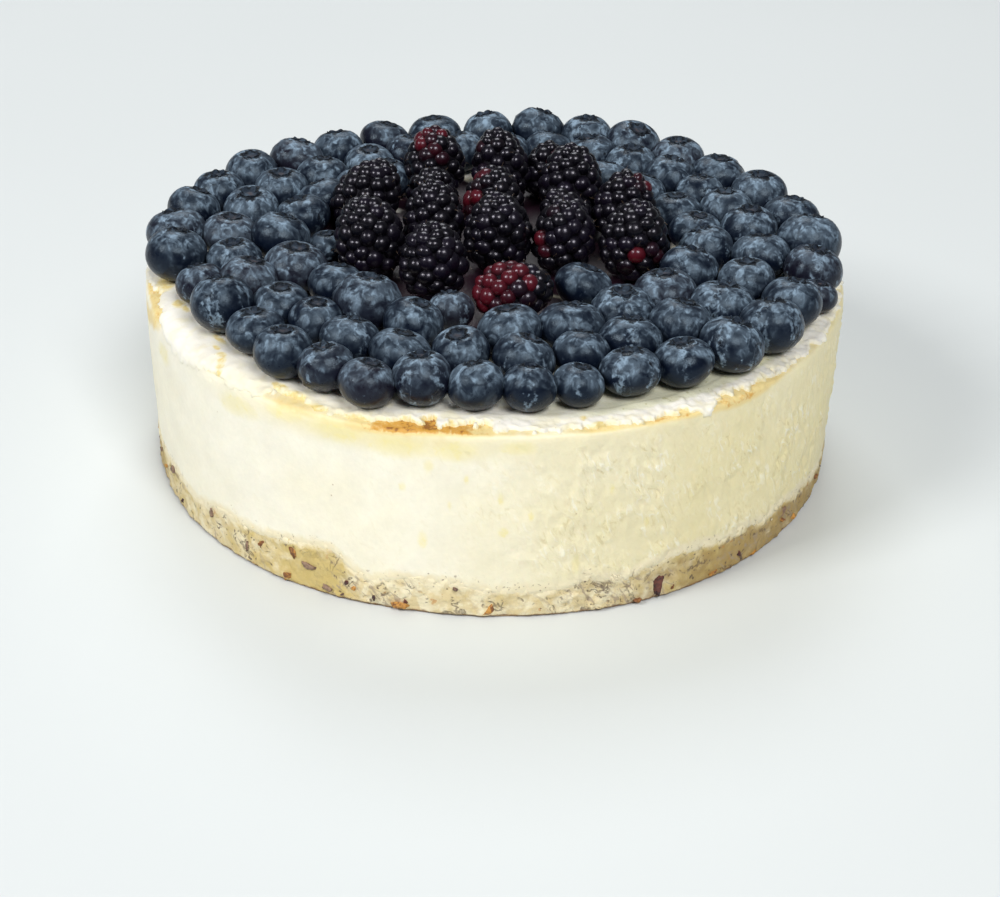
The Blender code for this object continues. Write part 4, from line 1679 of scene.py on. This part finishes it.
@dataclass
class Heap:
    """The dark berries, each an egg-shaped core covered with drupelets."""

    spacing: float = 5.15         # between the middles of two drupelets
    drupelet: float = 3.00        # half the width of a drupelet
    bulge: float = 2.60           # how far a drupelet's top stands from its middle
    plump: float = 0.8            # how far the drupelets stand proud of the CAD solid
    thread: tuple[float, float] = (0.07, 1.7)     # a dried style: its radius and its length
    threaded: float = 0.25        # the share of drupelets that still have one
    narrowing: float = 0.14
    draw: np.random.Generator = field(default_factory=lambda: np.random.default_rng(91))

    def spots(self) -> list[Spot]:
        """Say where every dark berry lies."""
        return [spot_in_box(berry.node) for berry in HEAP]

    def model_drupelet(self) -> Shape:
        """Model one drupelet of radius 1, with its top towards Z."""
        bpy.ops.object.select_all(action="DESELECT")
        bpy.ops.mesh.primitive_ico_sphere_add(subdivisions=2, radius=1.0)
        return Shape.taken_from(bpy.context.object)

    def model_thread(self) -> Shape:
        """Model the dried style of a drupelet, a bent hair that stands on Z = 0."""
        radius, length = self.thread
        bpy.ops.object.select_all(action="DESELECT")
        bpy.ops.mesh.primitive_cone_add(vertices=3, radius1=radius, radius2=0.3 * radius, depth=length,
                                        location=(0.0, 0.0, 0.5 * length))
        bpy.ops.object.transform_apply(location=True)
        return Shape.taken_from(bpy.context.object)

    def model_core(self) -> Shape:
        """Model the core of radius 1 under the drupelets."""
        bpy.ops.object.select_all(action="DESELECT")
        bpy.ops.mesh.primitive_uv_sphere_add(segments=24, ring_count=16, radius=1.0)
        return Shape.taken_from(bpy.context.object)

    def build(self) -> None:
        """Model every dark berry and dress it."""
        drupelet = self.model_drupelet()
        core = self.model_core()
        thread = self.model_thread()
        material = DarkBerryFinish().material()
        for berry in HEAP:
            shapes = self.berry(berry, drupelet, core, thread)
            piece = gathered(f"dark_berry_whole_{berry.number:02d}", shapes)
            dress(piece, material, "dark_berry_skin", berry.node)

    def berry(self, berry: DarkBerry, drupelet: Shape, core: Shape, thread: Shape) -> list[Shape]:
        """Model one dark berry.

        Args:
            berry: Its sizes and lean.
            drupelet: The drupelet to copy.
            core: The core to copy.
            thread: The dried style to copy.

        Returns:
            The core, all its drupelets and their styles, in metres.
        """
        draw = self.draw
        low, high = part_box(berry.node)
        middle = np.array((low + high) / (2.0 * MM))
        turn = turn_of(berry.lean, berry.heading, draw.uniform(0.0, 360.0))
        half = np.array([0.5 * berry.width, 0.5 * berry.width, 0.5 * berry.length]) + self.plump
        thick = 2.0 * (half[0] - 0.6 * self.bulge)
        area = math.pi * thick * (0.25 * thick + 0.75 * (thick + berry.length - berry.width))
        count = int(area / (0.866 * self.spacing**2))
        red_from = np.array(berry.red_from)
        red_limit = 1.0 - 2.0 * berry.red_share

        inner = half - 0.95 * self.bulge
        narrow = 1.0 - self.narrowing * core.places[:, 2:]
        places = core.places * inner * np.column_stack([narrow, narrow, np.ones(len(narrow))])
        # The core carries deep = 1, so the material paints it with the crevice shade.
        shapes = [core.copied((places @ turn.T + middle) * MM, shade=0.2, unripe=0.0, deep=1.0, thread=0.0)]
        for index in range(count):
            rise = 1.0 - 2.0 * (index + 0.5) / count
            spread = math.sqrt(1.0 - rise * rise)
            angle = index * math.pi * (3.0 - math.sqrt(5.0)) + draw.normal(0.0, 0.06)
            point = np.array([spread * math.cos(angle), spread * math.sin(angle), rise])
            narrow = 1.0 - self.narrowing * rise
            outer = point * half * [narrow, narrow, 1.0]
            out = point / half
            out /= np.linalg.norm(out)
            size = draw.uniform(0.90, 1.12) * (1.0 - 0.22 * smooth(rise, 0.75, 1.0))
            width = self.drupelet * size
            lift = self.bulge * draw.uniform(0.90, 1.08)
            frame = frame_towards(out)
            own = drupelet.places * [width, width * draw.uniform(0.86, 1.08), lift]
            bed = outer - out * (lift + draw.uniform(-0.15, 0.25))
            places = (own @ frame.T + bed) @ turn.T
            facing = turn @ point
            side = facing @ red_from / max(np.linalg.norm(red_from), 1e-6)
            unripe = float(smooth(side + draw.normal(0.0, 0.22), red_limit - 0.25, red_limit + 0.60))
            if berry.red_share == 0.0:
                unripe = 0.0
            # deep marks each drupelet's low side, which the material darkens as painted crevice shade.
            deep = smooth(drupelet.places[:, 2], 0.25, -0.2)
            shapes.append(drupelet.copied((places + middle) * MM, shade=draw.random(),
                                          unripe=unripe, deep=deep, thread=0.0))
            if draw.random() < self.threaded:
                root = outer - out * 0.15
                aslant = frame_towards(out + draw.normal(0.0, 0.6, 3))
                places = (thread.places @ aslant.T + root) @ turn.T
                shapes.append(thread.copied((places + middle) * MM, shade=0.5, unripe=0.0, deep=0.0, thread=1.0))
        return shapes


def frame_towards(direction: Array) -> Array:
    """Give a turning matrix that points Z in a direction."""
    return np.array(Vector(direction).to_track_quat("Z", "Y").to_matrix())


# ---------------------------------------------------------------------------------------------
# The studio
# ---------------------------------------------------------------------------------------------


@dataclass(frozen=True)
class Softbox:
    """One large soft light that points at the cake."""

    name: str
    heading: float
    elevation: float
    distance: float
    size: float
    power: float
    colour: Colour = (1.0, 1.0, 1.0)

    def hang(self) -> None:
        """Add the light."""
        angle = math.radians(self.heading)
        rise = math.radians(self.elevation)
        place = Vector((math.cos(angle) * math.cos(rise), math.sin(angle) * math.cos(rise), math.sin(rise)))
        light = bpy.data.lights.new(self.name, "AREA")
        light.shape = "SQUARE"
        light.size = self.size
        light.energy = self.power
        light.color = self.colour
        lamp = bpy.data.objects.new(self.name, light)
        lamp.location = place * self.distance + Vector((0.0, 0.0, 0.05))
        lamp.rotation_euler = place.to_track_quat("Z", "Y").to_euler()
        bpy.context.scene.collection.objects.link(lamp)


@dataclass(frozen=True)
class Studio:
    """A pale floor, soft light from the left and the back, and the camera."""

    lens: float = 70.05
    sensor: float = 36.0
    place: tuple[float, float, float] = (0.0, -0.5896, 0.3362)
    pitch: float = 30.19
    yaw: float = 0.287
    roll: float = 1.255
    floor: float = 8.0
    lights: tuple[Softbox, ...] = (
        Softbox("sky", 95.0, 50.0, 3.0, 1.4, 35.0, (0.97, 0.99, 1.0)),
        Softbox("key", -150.0, 40.0, 4.0, 1.2, 90.0, (1.0, 0.99, 0.97)),
        Softbox("front", -68.0, 48.0, 4.0, 1.5, 111.0, (1.0, 0.99, 0.97)),
    )

    def build(self) -> None:
        """Set up the floor, the lights and the camera."""
        self.lay_floor()
        for light in self.lights:
            light.hang()
        world = bpy.data.worlds.new("studio")
        world.use_nodes = True
        shade = world.node_tree.nodes["Background"]
        shade.inputs["Color"].default_value = (0.95, 0.98, 1.0, 1.0)
        shade.inputs["Strength"].default_value = 0.12
        bpy.context.scene.world = world
        bpy.context.scene.view_settings.view_transform = "Standard"
        self.place_camera()

    def lay_floor(self) -> None:
        """Add the floor."""
        bpy.ops.object.select_all(action="DESELECT")
        bpy.ops.mesh.primitive_plane_add(size=self.floor)
        floor = bpy.context.object
        floor.name = "studio_floor"
        cook = Recipe("pale_floor")
        colour = cook.mix(cook.noise(400.0).ramp(0.3, 0.7), (0.655, 0.69, 0.70), (0.67, 0.705, 0.715))
        floor.data.materials.append(cook.finish(colour, 0.6, ()))

    def place_camera(self) -> None:
        """Add the camera, which is tipped a little to one side."""
        pitch = math.radians(self.pitch)
        yaw = math.radians(self.yaw)
        forward = Vector((math.sin(yaw) * math.cos(pitch), math.cos(yaw) * math.cos(pitch),
                          -math.sin(pitch)))
        level = forward.cross(Vector((0.0, 0.0, 1.0))).normalized()
        turn = Matrix.Rotation(-math.radians(self.roll), 3, forward)
        right = turn @ level
        up = right.cross(forward)
        camera = bpy.data.cameras.new("camera")
        camera.lens = self.lens
        camera.sensor_width = self.sensor
        camera.clip_start = 0.01
        view = bpy.data.objects.new("camera", camera)
        axes = Matrix((right, up, -forward)).transposed()
        view.matrix_world = Matrix.Translation(Vector(self.place)) @ axes.to_4x4()
        bpy.context.scene.collection.objects.link(view)
        bpy.context.scene.camera = view


NUTS: tuple[NutBatch, ...] = (
    NutBatch(NutKind.RUST, NutFinish("rust_nut", (0.56, 0.27, 0.055), (0.20, 0.075, 0.025)), 13, (1.0, 2.6),
             ((-122.0, 11.4, 4.8, 4.8), (-127.3, 10.0, 3.4, 3.4), (-123.0, 2.8, 3.8, 4.0),
              (-103.5, 2.6, 6.0, 3.0), (-90.5, 3.0, 4.4, 4.6), (-60.5, 3.2, 1.6, 2.4),
              (-52.5, 2.8, 3.4, 2.0), (-43.0, 2.4, 3.6, 1.8), (-66.5, 1.4, 3.0, 1.2),
              (-111.0, 5.4, 1.6, 1.6), (-30.0, 2.5, 2.4, 1.8)), 5),
    NutBatch(NutKind.DARK, NutFinish("dark_nut", (0.16, 0.045, 0.03), (0.05, 0.02, 0.02)), 12, (1.2, 2.6),
             ((-63.0, 6.8, 3.6, 8.4), (-102.6, 4.4, 1.6, 2.2), (-107.6, 3.6, 1.2, 3.0),
              (-46.6, 4.6, 1.6, 1.7), (-112.0, 6.8, 1.4, 1.2)), 6),
    NutBatch(NutKind.GREY, NutFinish("grey_nut", (0.29, 0.19, 0.125), (0.105, 0.055, 0.042)), 26, (1.4, 3.4),
             ((-119.4, 9.0, 5.2, 2.6), (-115.4, 3.2, 4.2, 2.8), (-112.5, 2.0, 2.6, 1.8),
              (-140.0, 10.8, 2.0, 4.2), (-131.0, 6.2, 2.0, 4.4), (-155.0, 10.6, 4.4, 2.6),
              (-95.0, 10.2, 1.8, 1.4), (-34.0, 8.8, 3.0, 3.0)), 7),
)


def main() -> None:
    """Build the cake round its frame, piece by piece."""
    Crust().build()
    for batch in NUTS:
        batch.build()
    Filling().build()
    heap = Heap()
    Cream().build(heap.spots())
    Blueberries().build(heap.spots())
    heap.build()
    Studio().build()


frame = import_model()


if __name__ == "__main__":
    main()
